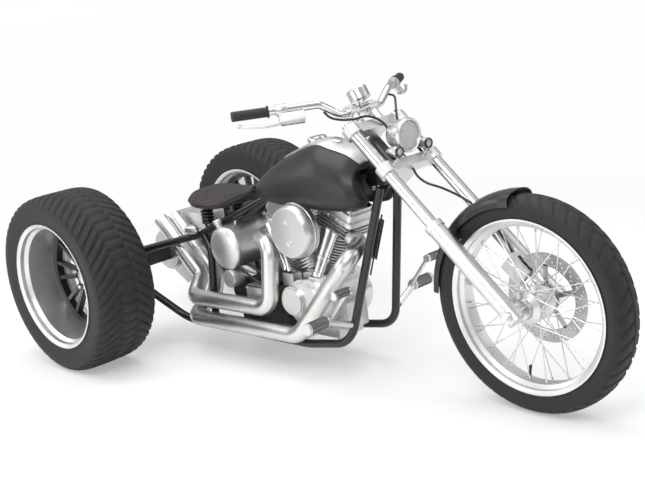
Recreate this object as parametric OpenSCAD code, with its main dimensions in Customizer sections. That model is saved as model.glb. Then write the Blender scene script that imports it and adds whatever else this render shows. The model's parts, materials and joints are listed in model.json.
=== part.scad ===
// Three-wheeled motorcycle: raked fork with a spoked front wheel, V-twin engine,
// and two wide car-type rear wheels on a rigid axle.
// +X is forward, +Y is the rider's left, +Z is up. The origin is on the floor,
// midway between the axles and on the centre line.

/* [Layout] */
// Distance from the front axle to the rear axle
wheelbase = 1793; // [1600:1:1950]
// Distance between the middles of the two rear tyres
rear_track = 992; // [920:1:1150]
// Angle of the fork from the vertical
rake = 47.1; // [42:0.1:52]

/* [Front wheel] */
// Outer radius of the front tyre
front_tyre_r = 348; // [335:1:360]
// Width of the front tyre
front_tyre_w = 116; // [90:1:130]
// Radius of the front rim at its edge
front_rim_r = 281; // [260:1:290]
// Width of the front rim over its edges
front_rim_w = 95; // [75:1:100]
// Number of wire spokes
spoke_count = 40; // [24:8:56]
// Radius of the front brake disc
disc_r = 146; // [120:1:160]

/* [Rear wheels] */
// Outer radius of a rear tyre
rear_tyre_r = 348; // [335:1:360]
// Width of a rear tyre over its walls
rear_tyre_w = 253; // [200:1:270]
// Radius of a rear rim at its edge
rear_rim_r = 247; // [225:1:260]
// Depth from the rim's outer edge to the black wheel centre
rear_dish = 150; // [100:1:165]
// Number of spokes in a wheel centre
centre_spokes = 8; // [5:1:10]

/* [Fork] */
// Half of the distance between the fork legs
leg_y = 115; // [105:1:130]
// Radius of a fork tube
tube_r = 20.5; // [18:0.5:24]
// Radius of a lower slider
slider_r = 28.5; // [26:0.5:32]
// Length of a slider above the axle
slider_len = 377; // [300:1:420]
// Length of a fork leg from the axle to its cap
leg_len = 812; // [780:1:850]
// How far the steering axis lies behind the fork legs
stem_offset = 55; // [45:1:70]

/* [Handlebar] */
// Radius of the handlebar
bar_r = 12.7; // [11:0.1:16]
// Half of the width over the grips
bar_half = 407; // [360:1:450]
// Radius of a grip
grip_r = 16.5; // [15:0.5:20]

/* [Frame] */
// Radius of the main frame tubes
frame_r = 15; // [12:0.5:18]
// Half of the distance between the lower rails
rail_y = 120; // [110:1:135]
// Height of the lower rails
rail_z = 103; // [90:1:115]
// Side of the square axle housing
housing_side = 54; // [48:1:64]
// Radius of a rear axle shaft
shaft_r = 16; // [12:0.5:20]

/* [Engine] */
// Lean of each cylinder from the vertical
cylinder_lean = 22.5; // [20:0.5:30]
// Radius of the cooling fins
fin_r = 74; // [66:1:80]
// Radius of the air cleaner
cleaner_r = 102; // [80:1:105]
// Radius of the exhaust covers
pipe_r = 28.5; // [22:0.5:31]

/* [Tank and seat] */
// Half of the fuel tank's greatest width
tank_half = 146; // [120:1:160]
// Height of the fuel tank's top above the floor
tank_top = 836; // [820:1:850]
// Radius of the round oil tank
oil_tank_r = 83; // [70:1:86]
// Length of the seat
seat_len = 335; // [300:1:380]
// Width of the seat
seat_w = 290; // [250:1:320]

/* [Hidden] */
$fn = 64;
tube_sides = 16;

front_x = wheelbase / 2;
rear_x = -wheelbase / 2;
// Unit vectors: up along the fork legs, and forward square to them
leg_dir = [-sin(rake), 0, cos(rake)];
leg_side = [cos(rake), 0, sin(rake)];
front_axle = [front_x, 0, front_tyre_r];
rear_wheel_y = rear_track / 2;
axle_z = rear_tyre_r;

// Heights along the leg, measured from the axle
lower_clamp_s = 617;
upper_clamp_s = 795;
clamp_t = 36;
neck_r = 27;
neck_gap = 6;
stem_r = 12.5;
pin_gap = 0.05;
front_axle_r = 10;
// Point at a height s along the leg, n forward of it and y to the left
function fork_at(s, n, y) = front_axle + leg_dir * s + leg_side * n + [0, y, 0];

// Engine
crank = [-15, 0, 250];
pipe_y = 190;
rear_run_z = 229;
front_run_z = 142;
silencer_y = [100, 34];

// Rear end
housing_drop = 8;
housing_top = axle_z - housing_drop + housing_side / 2;
housing_bottom = housing_top - housing_side;
housing_end_y = 340;
drive_y = 62;
knee = [-600, 98, 452];
seat_gap = 0.3;
disc_gap = 8;
disc_y = 72;
disc_t = 5;
hub_flange_r = 54;
hub_flange_y = 36;
rim_bed_r = 253;

function unit(v) = v / norm(v);
function mix(a, b, t) = a * (1 - t) + b * t;
function arc_point(s, e, c, phi, t) = c + ((s - c) * sin((1 - t) * phi) + (e - c) * sin(t * phi)) / sin(phi);
// Points of one rounded corner at b between a and c
function corner(a, b, c, r, steps) =
    let (u = unit(a - b), v = unit(c - b), th = acos(max(-1, min(1, u * v))))
    th > 179 ? [b] :
    let (t = r / tan(th / 2), mid = b + unit(u + v) * r / sin(th / 2))
    [for (k = [0:steps]) arc_point(b + u * t, b + v * t, mid, 180 - th, k / steps)];
// A route through the points p, with its corners rounded to r
function route(p, r, steps = 6) = [
    p[0],
    for (i = [1:1:len(p) - 2]) each corner(p[i - 1], p[i], p[i + 1], is_list(r) ? r[i - 1] : r, steps),
    p[len(p) - 1]
];
function tangent(p, i) = unit(p[min(i + 1, len(p) - 1)] - p[max(i - 1, 0)]);
function square_to(n, t) = unit(n - t * (n * t));
function first_normal(t) = abs(t[2]) > 0.9 ? square_to([1, 0, 0], t) : square_to([0, 0, 1], t);
function normals(p) = [
    for (i = 0, n = first_normal(tangent(p, 0)); i < len(p);
        i = i + 1, n = i < len(p) ? square_to(n, tangent(p, i)) : n) n
];
// Smooth curve through the points p, with the given number of steps between two points
function spline_point(a, b, c, d, t) =
    (b * 2 + (c - a) * t + (a * 2 - b * 5 + c * 4 - d) * t * t + (b * 3 - a - c * 3 + d) * t * t * t) / 2;
function smooth(p, steps = 4) = [
    for (i = [0:len(p) - 2], k = [0:steps - 1])
        spline_point(p[max(i - 1, 0)], p[i], p[i + 1], p[min(i + 2, len(p) - 1)], k / steps),
    p[len(p) - 1]
];

// Solid skin over rings that have the same number of points
module loft(rings) {
    n = len(rings[0]);
    m = len(rings);
    polyhedron(
        points = [for (ring = rings) each ring],
        faces = [
            [for (j = [0:n - 1]) j],
            for (i = [0:m - 2], j = [0:n - 1])
                [i * n + j, (i + 1) * n + j, (i + 1) * n + (j + 1) % n, i * n + (j + 1) % n],
            [for (j = [n - 1:-1:0]) (m - 1) * n + j]
        ]
    );
}

// Closed sheet between two grids of points that match row by row
module skin(outer, inner) {
    m = len(outer);
    n = len(outer[0]);
    in = m * n;
    last = in - n;
    polyhedron(
        points = [for (row = concat(outer, inner)) each row],
        faces = [
            for (i = [0:m - 2], j = [0:n - 2]) let (a = i * n + j, b = a + n)
                each [[a, b, b + 1, a + 1], [in + a, in + a + 1, in + b + 1, in + b]],
            for (i = [0:m - 2]) let (a = i * n, b = a + n, c = a + n - 1, d = b + n - 1)
                each [[a, in + a, in + b, b], [c, d, in + d, in + c]],
            for (j = [0:n - 2])
                each [[j, j + 1, in + j + 1, in + j], [last + j, in + last + j, in + last + j + 1, last + j + 1]]
        ]
    );
}

// Round tube along a list of points; r is one radius, or a radius for each point
module sweep(p, r, sides = tube_sides) {
    normal = normals(p);
    loft([
        for (i = [0:len(p) - 1])
            let (t = tangent(p, i), n = normal[i], b = cross(t, n), ri = is_list(r) ? r[i] : r)
            [for (j = [0:sides - 1]) p[i] + (n * cos(360 * j / sides) + b * sin(360 * j / sides)) * ri]
    ]);
}

function mirrored(p) = [for (q = p) [q[0], -q[1], q[2]]];

// Straight true cylinder between two points
module rod(a, b, r, r_end = undef) {
    v = b - a;
    translate(a)
        rotate([0, acos(v[2] / norm(v)), atan2(v[1], v[0])])
            cylinder(h = norm(v), r1 = r, r2 = is_undef(r_end) ? r : r_end);
}

// Puts children in the fork's own axes: Z up the leg, X forward, Y left
module on_fork(s = 0, n = 0, y = 0) {
    translate(fork_at(s, n, y)) rotate([0, -rake, 0]) children();
}

// Turns a profile of (radius, across) about a left-right axle
module turned(profile) {
    rotate([-90, 0, 0]) rotate_extrude($fn = 96) polygon(profile);
}

module at_front_axle() {
    translate(front_axle) children();
}

module at_rear_axle(side) {
    translate([rear_x, side * rear_wheel_y, axle_z]) mirror([0, side < 0 ? 1 : 0, 0]) children();
}

// Tyre section as (radius, across); a higher squareness gives squarer shoulders
function tyre_profile(r, w, bead_r, bead_w, lip, square, steps = 20) = let (mid = (r + bead_r) / 2) [
    [bead_r, bead_w / 2],
    [bead_r + lip, bead_w / 2],
    for (k = [0:steps])
        let (a = 180 * k / steps, c = cos(a), s = sin(a))
        [mid + (r - mid) * pow(s, 2 / square), w / 2 * sign(c) * pow(abs(c), 2 / square)],
    [bead_r + lip, -bead_w / 2],
    [bead_r, -bead_w / 2]
];

// ---------------- Front wheel ----------------
module front_tyre() {
    color("dimgray") at_front_axle()
        turned(tyre_profile(front_tyre_r, front_tyre_w, front_rim_r - 8.7, front_rim_w - 12, 9.2, 2.3));
}

module front_rim() {
    e = front_rim_w / 2;
    half = [[front_rim_r, e], [front_rim_r, e - 4.5], [front_rim_r - 9, e - 5.5], [front_rim_r - 9, e - 21],
        [rim_bed_r + 5, e - 29]];
    inner = [[rim_bed_r, e - 27], [front_rim_r - 15, e - 19], [front_rim_r - 15, e - 5], [front_rim_r - 5, e]];
    color("silver") at_front_axle() turned([
        each half,
        for (k = [len(half) - 1:-1:0]) [half[k][0], -half[k][1]],
        for (k = [len(inner) - 1:-1:0]) [inner[k][0], -inner[k][1]],
        each inner
    ]);
}

// Crossed wires from both hub flanges to the rim bed
module front_spokes() {
    pairs = spoke_count / 4;
    color("silver") at_front_axle()
        for (side = [-1, 1], i = [0:pairs - 1], lace = [-1, 1]) {
            a = 360 * (i + (side > 0 ? 0.5 : 0)) / pairs + lace * 3;
            b = a + lace * 44;
            rod([(hub_flange_r + 2) * cos(a), side * hub_flange_y, (hub_flange_r + 2) * sin(a)],
                [(rim_bed_r - 1.4) * cos(b), side * 6, (rim_bed_r - 1.4) * sin(b)], 1.8, $fn = 14);
        }
}

module front_hub() {
    color("silver") at_front_axle() turned([
        [front_axle_r + pin_gap, -64], [30, -64], [34, -50], [hub_flange_r, -hub_flange_y - 5],
        [hub_flange_r, -hub_flange_y + 3], [30, -22], [26, 0], [30, 22], [hub_flange_r, hub_flange_y - 3],
        [hub_flange_r, hub_flange_y + 5], [34, 50], [30, disc_y - disc_t / 2 - 3], [front_axle_r + pin_gap, disc_y - disc_t / 2 - 3]
    ]);
}

module front_disc() {
    arms = 5;
    color("gray") at_front_axle() {
        turned([[disc_r - 42, disc_y - disc_t / 2], [disc_r, disc_y - disc_t / 2],
            [disc_r, disc_y + disc_t / 2], [disc_r - 42, disc_y + disc_t / 2]]);
        turned([[front_axle_r + 6, disc_y - disc_t / 2 - 2.5], [44, disc_y - disc_t / 2 - 2.5],
            [44, disc_y + disc_t / 2], [front_axle_r + 6, disc_y + disc_t / 2]]);
        for (i = [0:arms - 1])
            rotate([0, 360 * i / arms, 0])
                translate([38, disc_y - disc_t / 2, -9])
                    cube([disc_r - 42 - 36, disc_t, 18]);
    }
}

// ---------------- Fork ----------------
module fork_clamps() {
    clamp_s = [lower_clamp_s, upper_clamp_s];
    color("silver") difference() {
        union() {
            for (s = clamp_s) {
                on_fork(s) for (side = [-1, 1])
                    translate([0, side * leg_y, -clamp_t / 2]) cylinder(h = clamp_t, r = tube_r + 9);
                on_fork(s, 0, 0)
                    translate([-22, -leg_y, -clamp_t / 2]) cube([40, leg_y * 2, clamp_t]);
                on_fork(s, -stem_offset)
                    translate([0, 0, -clamp_t / 2]) cylinder(h = clamp_t, r = 34);
                on_fork(s, -stem_offset, 0)
                    translate([0, -34, -clamp_t / 2]) cube([stem_offset, 68, clamp_t]);
            }
            on_fork(lower_clamp_s, -stem_offset)
                cylinder(h = upper_clamp_s - lower_clamp_s + clamp_t / 2 + 14, r = stem_r);
            // Risers and their clamps
            for (side = [-1, 1]) {
                on_fork(upper_clamp_s, -7, side * 45)
                    translate([0, 0, clamp_t / 2 - 1]) cylinder(h = 52, r = 17);
                on_fork(upper_clamp_s + clamp_t / 2 + 66, -7, side * 45)
                    rotate([90, 0, 0]) translate([0, 0, -19]) cylinder(h = 38, r = bar_r + 12);
            }
        }
        for (side = [-1, 1])
            on_fork(lower_clamp_s - clamp_t, 0, side * leg_y)
                cylinder(h = leg_len, r = tube_r + pin_gap);
        bar_centre_hole();
    }
}

function bar_centre() = fork_at(upper_clamp_s + clamp_t / 2 + 66, -7, 0);

module bar_centre_hole() {
    translate(bar_centre()) rotate([90, 0, 0])
        cylinder(h = 200, r = bar_r + pin_gap, center = true);
}

module fork_tubes() {
    color("silver") for (side = [-1, 1]) {
        on_fork(slider_len + seat_gap, 0, side * leg_y) cylinder(h = leg_len - slider_len, r = tube_r);
        on_fork(leg_len, 0, side * leg_y) cylinder(h = 14, r = tube_r - 2);
    }
}

module fork_sliders() {
    color("silver") {
        for (side = [-1, 1]) {
            on_fork(-26, 0, side * leg_y) cylinder(h = slider_len + 26, r = slider_r);
            on_fork(slider_len - 20, 0, side * leg_y) cylinder(h = 20, r = slider_r + 2.5);
            // Axle boss
            at_front_axle() translate([0, side * leg_y, 0]) rotate([90, 0, 0])
                cylinder(h = slider_r * 2 + 3, r = 21, center = true);
        }
        at_front_axle() rotate([90, 0, 0]) cylinder(h = leg_y * 2, r = front_axle_r, center = true);
    }
}

// Half of the bar from the middle to the right end
bar_route = [
    bar_centre() + [0, -74, 0], bar_centre() + [0, -98, 2], [228, -168, 988], [71, -bar_half, 988]
];

// Length of the straight end of the bar, which takes the grip and the clamps
bar_straight = 252;

module handlebar() {
    bend_end = bar_route[3] - unit(bar_route[3] - bar_route[2]) * (bar_straight - 12);
    half = route([bar_centre() + [0, -64, 0], bar_route[1], bar_route[2], bend_end], [40, 34], 5);
    color("silver") {
        translate(bar_centre()) rotate([90, 0, 0]) cylinder(h = 148, r = bar_r, center = true);
        for (side = [-1, 1]) {
            sweep(side > 0 ? mirrored(half) : half, bar_r - 0.1);
            on_bar(bar_straight, side) cylinder(h = bar_straight, r = bar_r);
        }
    }
}

// Places children on the right-hand bar end, Z along the bar towards the end, at a distance from the end
module on_bar(distance, side = -1) {
    v = unit(bar_route[3] - bar_route[2]);
    mirror([0, side > 0 ? 1 : 0, 0])
        translate(bar_route[3] - v * distance)
            rotate([0, acos(v[2]), atan2(v[1], v[0])]) children();
}

module grips() {
    color("dimgray") for (side = [-1, 1])
        on_bar(118, side) difference() {
            union() {
                cylinder(h = 122, r = grip_r);
                cylinder(h = 4, r = grip_r + 4);
            }
            translate([0, 0, -1]) cylinder(h = 119.4, r = bar_r + pin_gap);
        }
}

// Lever clamp and lever; the right one also carries the brake reservoir
module hand_control(side) {
    on_bar(176, side) difference() {
        union() {
            cylinder(h = 34, r = bar_r + 7);
            rotate([0, 0, 35]) translate([10, -11, 4]) cube([38, 22, 26]);
        }
        translate([0, 0, -1]) cylinder(h = 60, r = bar_r + pin_gap);
    }
    on_bar(0, side) rotate([0, 0, 35]) {
        rod([44, 0, -160], [48, 0, -58], 6.4);
        rod([48, 0, -63], [38, 0, -16], 5.6, 4.4);
        rod([40.5, 0, -27], [37, 0, -11], 6);
    }
}

module hand_control_right() {
    color("silver") {
        hand_control(-1);
        on_bar(232) rotate([0, 0, 35]) translate([bar_r + 3.5, -16, 0]) cube([34, 32, 80]);
    }
}

module hand_control_left() {
    color("silver") hand_control(1);
}

module gauge() {
    color("silver") translate(bar_centre() + [8, 0, 34]) rotate([0, -28, 0]) {
        cylinder(h = 34, r = 36);
        translate([0, 0, 34]) cylinder(h = 5, r1 = 38, r2 = 35);
    }
    color("silver") rod(bar_centre() + unit([8, 0, 34]) * (bar_r + seat_gap), bar_centre() + [8, 0, 38], 8);
}

module headlight() {
    lamp_r = 57;
    lamp_x = 456;
    lamp_z = 862;
    color("silver") {
        translate([lamp_x, 0, lamp_z]) rotate([0, -90, 0]) rotate_extrude()
            polygon([[0, 0], [lamp_r - 11, 0], [lamp_r - 8, -4], [lamp_r - 1, -3], [lamp_r, 4], [lamp_r - 1, 16],
                [lamp_r - 4, 18], [lamp_r - 6, 40], [lamp_r - 16, 66], [lamp_r - 32, 82], [12, 92], [0, 93]]);
        on_fork(lower_clamp_s + clamp_t / 2 + seat_gap, 0) cylinder(h = 42, r = 9);
    }
}

module turn_signals() {
    lamp_y = 72;
    color("silver") for (side = [-1, 1]) {
        translate([474, side * lamp_y, 822]) rotate([0, -90, 0]) rotate_extrude()
            polygon([[0, 1], [14, 0], [18, -2], [18, 10], [17, 26], [13, 44], [7, 56], [0, 60]]);
        rod(fork_at(624, 18 + seat_gap, side * lamp_y), fork_at(624, 40, side * lamp_y), 7);
    }
}

// Mudguard section at an angle about the front axle, offset inwards from its outer face
function guard_arc(angle, inset) = [
    for (k = [-6:6])
        let (t = 90 * k / 6, r = 322 + (44 - inset) * pow(max(0, cos(t)), 0.7), y = (68 - inset) * sin(t))
        front_axle + [r * cos(angle), y, r * sin(angle)]
];

module front_fender() {
    from = 94;
    to = 178;
    steps = 14;
    angles = [for (k = [0:steps]) mix(from, to, k / steps)];
    color("black") {
        skin([for (a = angles) guard_arc(a, 0)], [for (a = angles) guard_arc(a, 3)]);
        for (side = [-1, 1])
            on_fork(290, -6, side * 76.5) translate([-20, -9.7, 0]) cube([44, 19.4, 38]);
    }
}

module front_caliper() {
    color("gray") on_fork(132, -8, disc_y) difference() {
        translate([-34, -20, -42]) cube([68, 34, 84]);
        translate([-60, -disc_gap, -50]) cube([120, disc_gap * 2, 74]);
    }
}

// Cable and hose routes
brake_hose_route = [
    [452.6, 6, 749.6], [470, 6, 724], [504, 12, 702], [545, 34, 684], [600, 66, 648], [655, 77, 609], [705, 79, 565],
    [742, 78, 524], [766.8, 77, 487.6], [775.5, 76, 474.1]
];
bar_hose_route = [
    [236, -158, 962], [246, -140, 940], [262, -110, 928], [285, -76, 924], [308, -40, 928], [326, -10, 916], [344, 12, 890],
    [352, 16, 860]
];
clutch_cable_route = [
    [232, 164, 966], [270, 150, 962], [318, 100, 942], [354, 60, 908], [374, 48, 870], [380, 36, 836], [384, 16, 806]
];
cable_r = 4;

module control_cables() {
    color("black") for (p = [brake_hose_route, bar_hose_route, clutch_cable_route])
        sweep(smooth(p, 3), cable_r, 10);
}

// ---------------- Rear wheels ----------------
// Radii of the barrel inside a rear rim; across is measured outwards from the wheel's middle
barrel_r = rear_rim_r - 26;
rim_e = 122;
centre_face = rim_e - rear_dish;

module rear_tyre(side) {
    color("dimgray") at_rear_axle(side)
        turned(tyre_profile(rear_tyre_r, rear_tyre_w, rear_rim_r - 8.7, rim_e * 2 - 12, 9.2, 4.6, 24));
}

module rear_rim(side) {
    half = [[rear_rim_r, rim_e], [rear_rim_r, rim_e - 4.5], [rear_rim_r - 9, rim_e - 5.5], [rear_rim_r - 9, rim_e - 26],
        [barrel_r + 5, rim_e - 40]];
    inner = [[barrel_r, rim_e - 38], [rear_rim_r - 16, rim_e - 24], [rear_rim_r - 14, rim_e - 8], [rear_rim_r - 6, rim_e]];
    color("silver") at_rear_axle(side) turned([
        each half,
        for (k = [len(half) - 1:-1:0]) [half[k][0], -half[k][1]],
        for (k = [len(inner) - 1:-1:0]) [inner[k][0], -inner[k][1]],
        each inner
    ]);
}

// Black wheel centre with its hub, axle shaft and brake disc
module rear_centre(side) {
    thick = 34;
    back = centre_face - thick;
    shaft_in = rear_wheel_y - 250;
    brake_out = 104;
    color("black") at_rear_axle(side) {
        turned([[barrel_r - 18, centre_face - 6], [barrel_r - 0.3, centre_face - 2], [barrel_r - 0.3, back], [barrel_r - 18, back]]);
        turned([[0, centre_face - 4], [30, centre_face - 4], [34, centre_face - 12], [78, centre_face - 12], [84, back],
            [60, back - 8], [60, -brake_out], [0, -brake_out]]);
        for (i = [0:centre_spokes - 1], lean = [-9, 9])
            rotate([0, 360 * i / centre_spokes + lean, 0])
                translate([70, back, -7]) cube([barrel_r - 18 - 66, thick - 8, 14]);
        turned([[0, -brake_out], [125, -brake_out], [125, -brake_out - 6], [0, -brake_out - 6]]);
        turned([[0, -brake_out - 6], [shaft_r, -brake_out - 6], [shaft_r, -shaft_in], [0, -shaft_in]]);
    }
}

module rear_tyre_right() { rear_tyre(-1); }
module rear_tyre_left() { rear_tyre(1); }
module rear_rim_right() { rear_rim(-1); }
module rear_rim_left() { rear_rim(1); }
module rear_centre_right() { rear_centre(-1); }
module rear_centre_left() { rear_centre(1); }

// ---------------- Frame ----------------
backbone_front = fork_at(664, -stem_offset, 0);
backbone_rear = [-128, 0, 672];

module frame_backbone() {
    color("black") difference() {
        union() {
            on_fork(lower_clamp_s + clamp_t / 2 + neck_gap, -stem_offset)
                cylinder(h = upper_clamp_s - lower_clamp_s - clamp_t - neck_gap * 2, r = neck_r);
            rod(backbone_front, backbone_rear, 19);
            translate(backbone_rear) rotate([90, 0, 0]) cylinder(h = 68.4, r = 19, center = true);
            // Gusset under the neck
            translate([0, 11, 0]) rotate([90, 0, 0]) linear_extrude(22)
                polygon([[372, 752], [330, 780], [262, 736], [246, 700], [282, 652], [318, 648], [352, 690]]);
            translate([346, 0, 716]) rotate([90, 0, 0]) cylinder(h = 76, r = 22, center = true);
        }
        on_fork(lower_clamp_s, -stem_offset)
            cylinder(h = 260, r = stem_r + pin_gap);
    }
}

// Down tube, lower rail and the stay up to the axle housing, as the route of the right side
cradle_route = [
    [343, -44, 690], [196, -rail_y + 4, rail_z + 35], [-20, -rail_y, rail_z - 0.6], [-700, -rail_y - 20, rail_z - 4],
    [rear_x + 4, -272, housing_bottom - 12]
];
rail_route = [
    [-132, -49.5, 660], [-230, -52, 618], [knee[0], -knee[1], knee[2]], [rear_x + 12, -188, housing_top + 15.2]
];
post_route = [[-578, -98, 450], [-540, -104, 400], [-532, -rail_y - 15, rail_z + frame_r - 2.6]];

module frame_cradle(side) {
    p = route(cradle_route, [110, 300, 120], 7);
    color("black") sweep(side > 0 ? mirrored(p) : p, frame_r);
}

module frame_cradle_right() { frame_cradle(-1); }
module frame_cradle_left() { frame_cradle(1); }

// Seat rail, upper stay and the post that stands on the lower rail
module frame_rail(side) {
    rail = route(rail_route, [120, 60], 5);
    post = route(post_route, [70], 5);
    color("black") {
        sweep(side > 0 ? mirrored(rail) : rail, frame_r);
        sweep(side > 0 ? mirrored(post) : post, frame_r);
    }
}

module frame_rail_right() { frame_rail(-1); }
module frame_rail_left() { frame_rail(1); }

module axle_housing() {
    end_y = rear_wheel_y - rear_tyre_w / 2 - 14;
    centre_z = axle_z - housing_drop;
    color("black") for (side = [-1, 1]) mirror([0, side < 0 ? 1 : 0, 0]) difference() {
        union() {
            translate([rear_x - housing_side / 2, drive_y, housing_bottom])
                cube([housing_side, housing_end_y - drive_y, housing_side]);
            translate([rear_x, housing_end_y, axle_z]) rotate([-90, 0, 0])
                cylinder(h = end_y - housing_end_y, r = 34);
            // Brake bracket and caliper behind the axle
            translate([rear_x - 128, end_y - 14, axle_z - 22]) cube([110, 12, 44]);
            translate([rear_x - 150, end_y - 14, axle_z - 34]) cube([58, 50, 68]);
        }
        translate([rear_x, 236, axle_z]) rotate([-90, 0, 0]) cylinder(h = 200, r = shaft_r + pin_gap);
        translate([rear_x - 133, rear_wheel_y - 107 - disc_gap, axle_z - 60])
            cube([200, disc_gap * 2, 120]);
    }
}

module final_drive() {
    color("silver") {
        translate([rear_x, 0, axle_z]) rotate([90, 0, 0]) {
            cylinder(h = drive_y * 2, r = 78, center = true);
            cylinder(h = drive_y * 2 - 16, r = 86, center = true);
        }
        for (y = [-50, 38])
            translate([0, y + 12, 0]) rotate([90, 0, 0]) linear_extrude(12)
                polygon([[rear_x - 30, 292], [rear_x + 20, 410], [-770, 330], [-752, 240], [-800, 214]]);
    }
}

// ---------------- Engine ----------------
module on_crank(lean = 0) {
    translate(crank) rotate([0, lean, 0]) children();
}

module crankcase() {
    color("silver") difference() {
        union() {
            on_crank() rotate([90, 0, 0]) cylinder(h = 156, r = 112, center = true);
            for (lean = [-cylinder_lean, cylinder_lean])
                on_crank(lean) translate([-62, -66, 0]) cube([124, 132, 118]);
            translate(crank + [-100, -62, -132]) cube([200, 124, 60]);
            translate(crank + [60, -50, -96]) cube([82, 100, 100]);
            // Mounting foot across the lower rails
            translate([-70, -rail_y - 4, 117.9]) cube([40, rail_y * 2 + 8, 14]);
        }
        translate(crank + [-30, -80, 120]) cube([60, 160, 40]);
    }
}

module cam_cover() {
    color("silver") {
        translate(crank + [14, 0, 8]) rotate([90, 0, 0]) translate([0, 0, 78.3]) {
            cylinder(h = 52, r = 92);
            cylinder(h = 60, r = 80);
            translate([30, 44, 0]) cylinder(h = 56, r = 54);
            translate([-52, 8, 0]) cylinder(h = 66, r = 56);
            translate([-52, 8, 0]) cylinder(h = 74, r = 50);
        }
        // Tappet blocks
        for (side = [-1, 1])
            translate([crank[0] + side * 69 - 28, -126, 316]) cube([56, 44, 48]);
    }
}

// Finned barrel and head of one cylinder
module engine_cylinder(lean) {
    color("silver") difference() {
        on_crank(lean) {
            translate([0, 0, 118.3]) cylinder(h = 172, r = 54);
            for (k = [0:13]) translate([0, 0, 128 + k * 11.5]) cylinder(h = 4.5, r = fin_r);
            translate([-60, -54, 290]) cube([120, 108, 54.7]);
            for (k = [0:3]) translate([-fin_r, -66, 291 + k * 13.4]) cube([fin_r * 2, 132, 5]);
        }
        translate(crank + [lean > 0 ? -99.6 : -0.4, -100, 100]) cube([100, 200, 160]);
    }
}

module cylinder_front() { engine_cylinder(cylinder_lean); }
module cylinder_rear() { engine_cylinder(-cylinder_lean); }

module rounded_plate(x, y, h, r) {
    linear_extrude(h) polygon([
        for (q = [[1, 1, 0], [-1, 1, 90], [-1, -1, 180], [1, -1, 270]], k = [0:4])
            [q[0] * (x / 2 - r) + r * cos(q[2] + k * 22.5), q[1] * (y / 2 - r) + r * sin(q[2] + k * 22.5)]
    ]);
}

module rocker_boxes() {
    color("silver") for (lean = [-cylinder_lean, cylinder_lean])
        on_crank(lean) {
            translate([0, 0, 345.3]) rounded_plate(176, 136, 18, 16);
            translate([0, 0, 363]) rounded_plate(164, 126, 28, 16);
            translate([0, 0, 391]) rounded_plate(150, 112, 14, 16);
        }
}

// Pairs of pushrod tubes: foot and top on the right side, mirrored about the crank for the rear cylinder
pushrods = [[[58, 368.6], [138, 546]], [[80, 368.6], [168, 532]]];

module pushrod_tubes() {
    color("silver") for (side = [-1, 1]) {
        for (p = pushrods)
            rod([crank[0] + side * (p[0][0] - crank[0] - 8), -112, p[0][1]],
                [crank[0] + side * (p[1][0] - crank[0] - 8), -96, p[1][1]], 10);
    }
}

module air_cleaner() {
    color("silver") {
        translate([0, 0, 533]) rotate([90, 0, 0]) rotate_extrude() polygon([
            [0, 112], [cleaner_r - 6, 112], [cleaner_r, 118], [cleaner_r, 136], [cleaner_r - 4, 156], [cleaner_r - 12, 174],
            [cleaner_r - 18, 180], [0, 180]
        ]);
        translate([crank[0], -112.5, 533]) rotate([-90, 0, 0]) cylinder(h = 84, r = 24);
    }
}

module primary_cover() {
    front = crank[0];
    rear = crank[0] - 318;
    z = crank[2] - 6;
    color("silver") {
        translate([front, 78.3, z]) rotate([-90, 0, 0]) cylinder(h = 60, r = 92);
        translate([rear, 78.3, z]) rotate([-90, 0, 0]) cylinder(h = 60, r = 108);
        translate([rear, 78.3, z - 92]) cube([front - rear, 60, 184]);
        translate([rear, 78.3, z]) rotate([-90, 0, 0]) cylinder(h = 68, r = 84);
    }
}

module transmission() {
    color("black") {
        translate([-420, -84, 128]) cube([262, 162, 150]);
        translate([-392, -70, 277]) cube([170, 110, 14]);
        translate([-380, -rail_y - 11, 116]) cube([40, rail_y * 2 + 22, 14]);
        translate([-420, -84, 240]) rotate([-90, 0, 0]) cylinder(h = 162, r = 38);
    }
    color("silver") translate([-330, -128, 232]) cube([96, 46, 56]);
}

// ---------------- Exhaust ----------------
function silencer_end(y) = [-853, -y, 494];

// Header, lower run and rise of one pipe, then its silencer
module exhaust(points, corners, y) {
    from = points[len(points) - 1];
    to = silencer_end(y);
    start = mix(from, to, 0.36);
    neck = pipe_r - 6;
    color("silver") {
        sweep(route([each points, mix(from, to, 0.4)], corners, 5), pipe_r + 3);
        difference() {
            rod(start, to, pipe_r);
            rod(mix(start, to, 0.55), to + (to - start) * 0.1, neck);
        }
    }
}

module exhaust_rear() {
    exhaust([
        [-200.1, -30, 501.4], [-237.1, -30, 486], [-234, -154, 484], [-134, -154, 474], [-144, -176, rear_run_z + 5],
        [-575, -pipe_y, rear_run_z - 3], [-632, -silencer_y[0], 281]
    ], [34, 36, 54, 62, 46, 50], silencer_y[0]);
}

module exhaust_front() {
    exhaust([
        [170.1, -36, 501.4], [216.3, -36, 482.3], [250, -138, 456], [10, -pipe_y, front_run_z + 19],
        [-596, -pipe_y, front_run_z - 1], [-612, -silencer_y[1] - 26, 200], [-620, -silencer_y[1], 268]
    ], [34, 58, 90, 44, 50, 50], silencer_y[1]);
}

// ---------------- Tanks, seat and boxes ----------------
module oil_tank() {
    color("silver") {
        translate([-406, 0, 426]) rotate([90, 0, 0]) rotate_extrude() polygon([
            [0, -164], [oil_tank_r * 0.5, -160], [oil_tank_r * 0.85, -150], [oil_tank_r, -136],
            [oil_tank_r, 136], [oil_tank_r * 0.85, 150], [oil_tank_r * 0.5, 160], [0, 164]
        ]);
        rod([-436, -124, 490], [-446, -130, 532], 17);
        translate([-392, -100, 310]) rotate([90, 0, 0]) cylinder(h = 54, r = 35);
        rod([-400, -124, 330], [-404, -124, 352], 12);
        for (side = [-1, 1]) translate([-406, side * 74, 500]) cylinder(h = 20, r = 5);
    }
}

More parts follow.
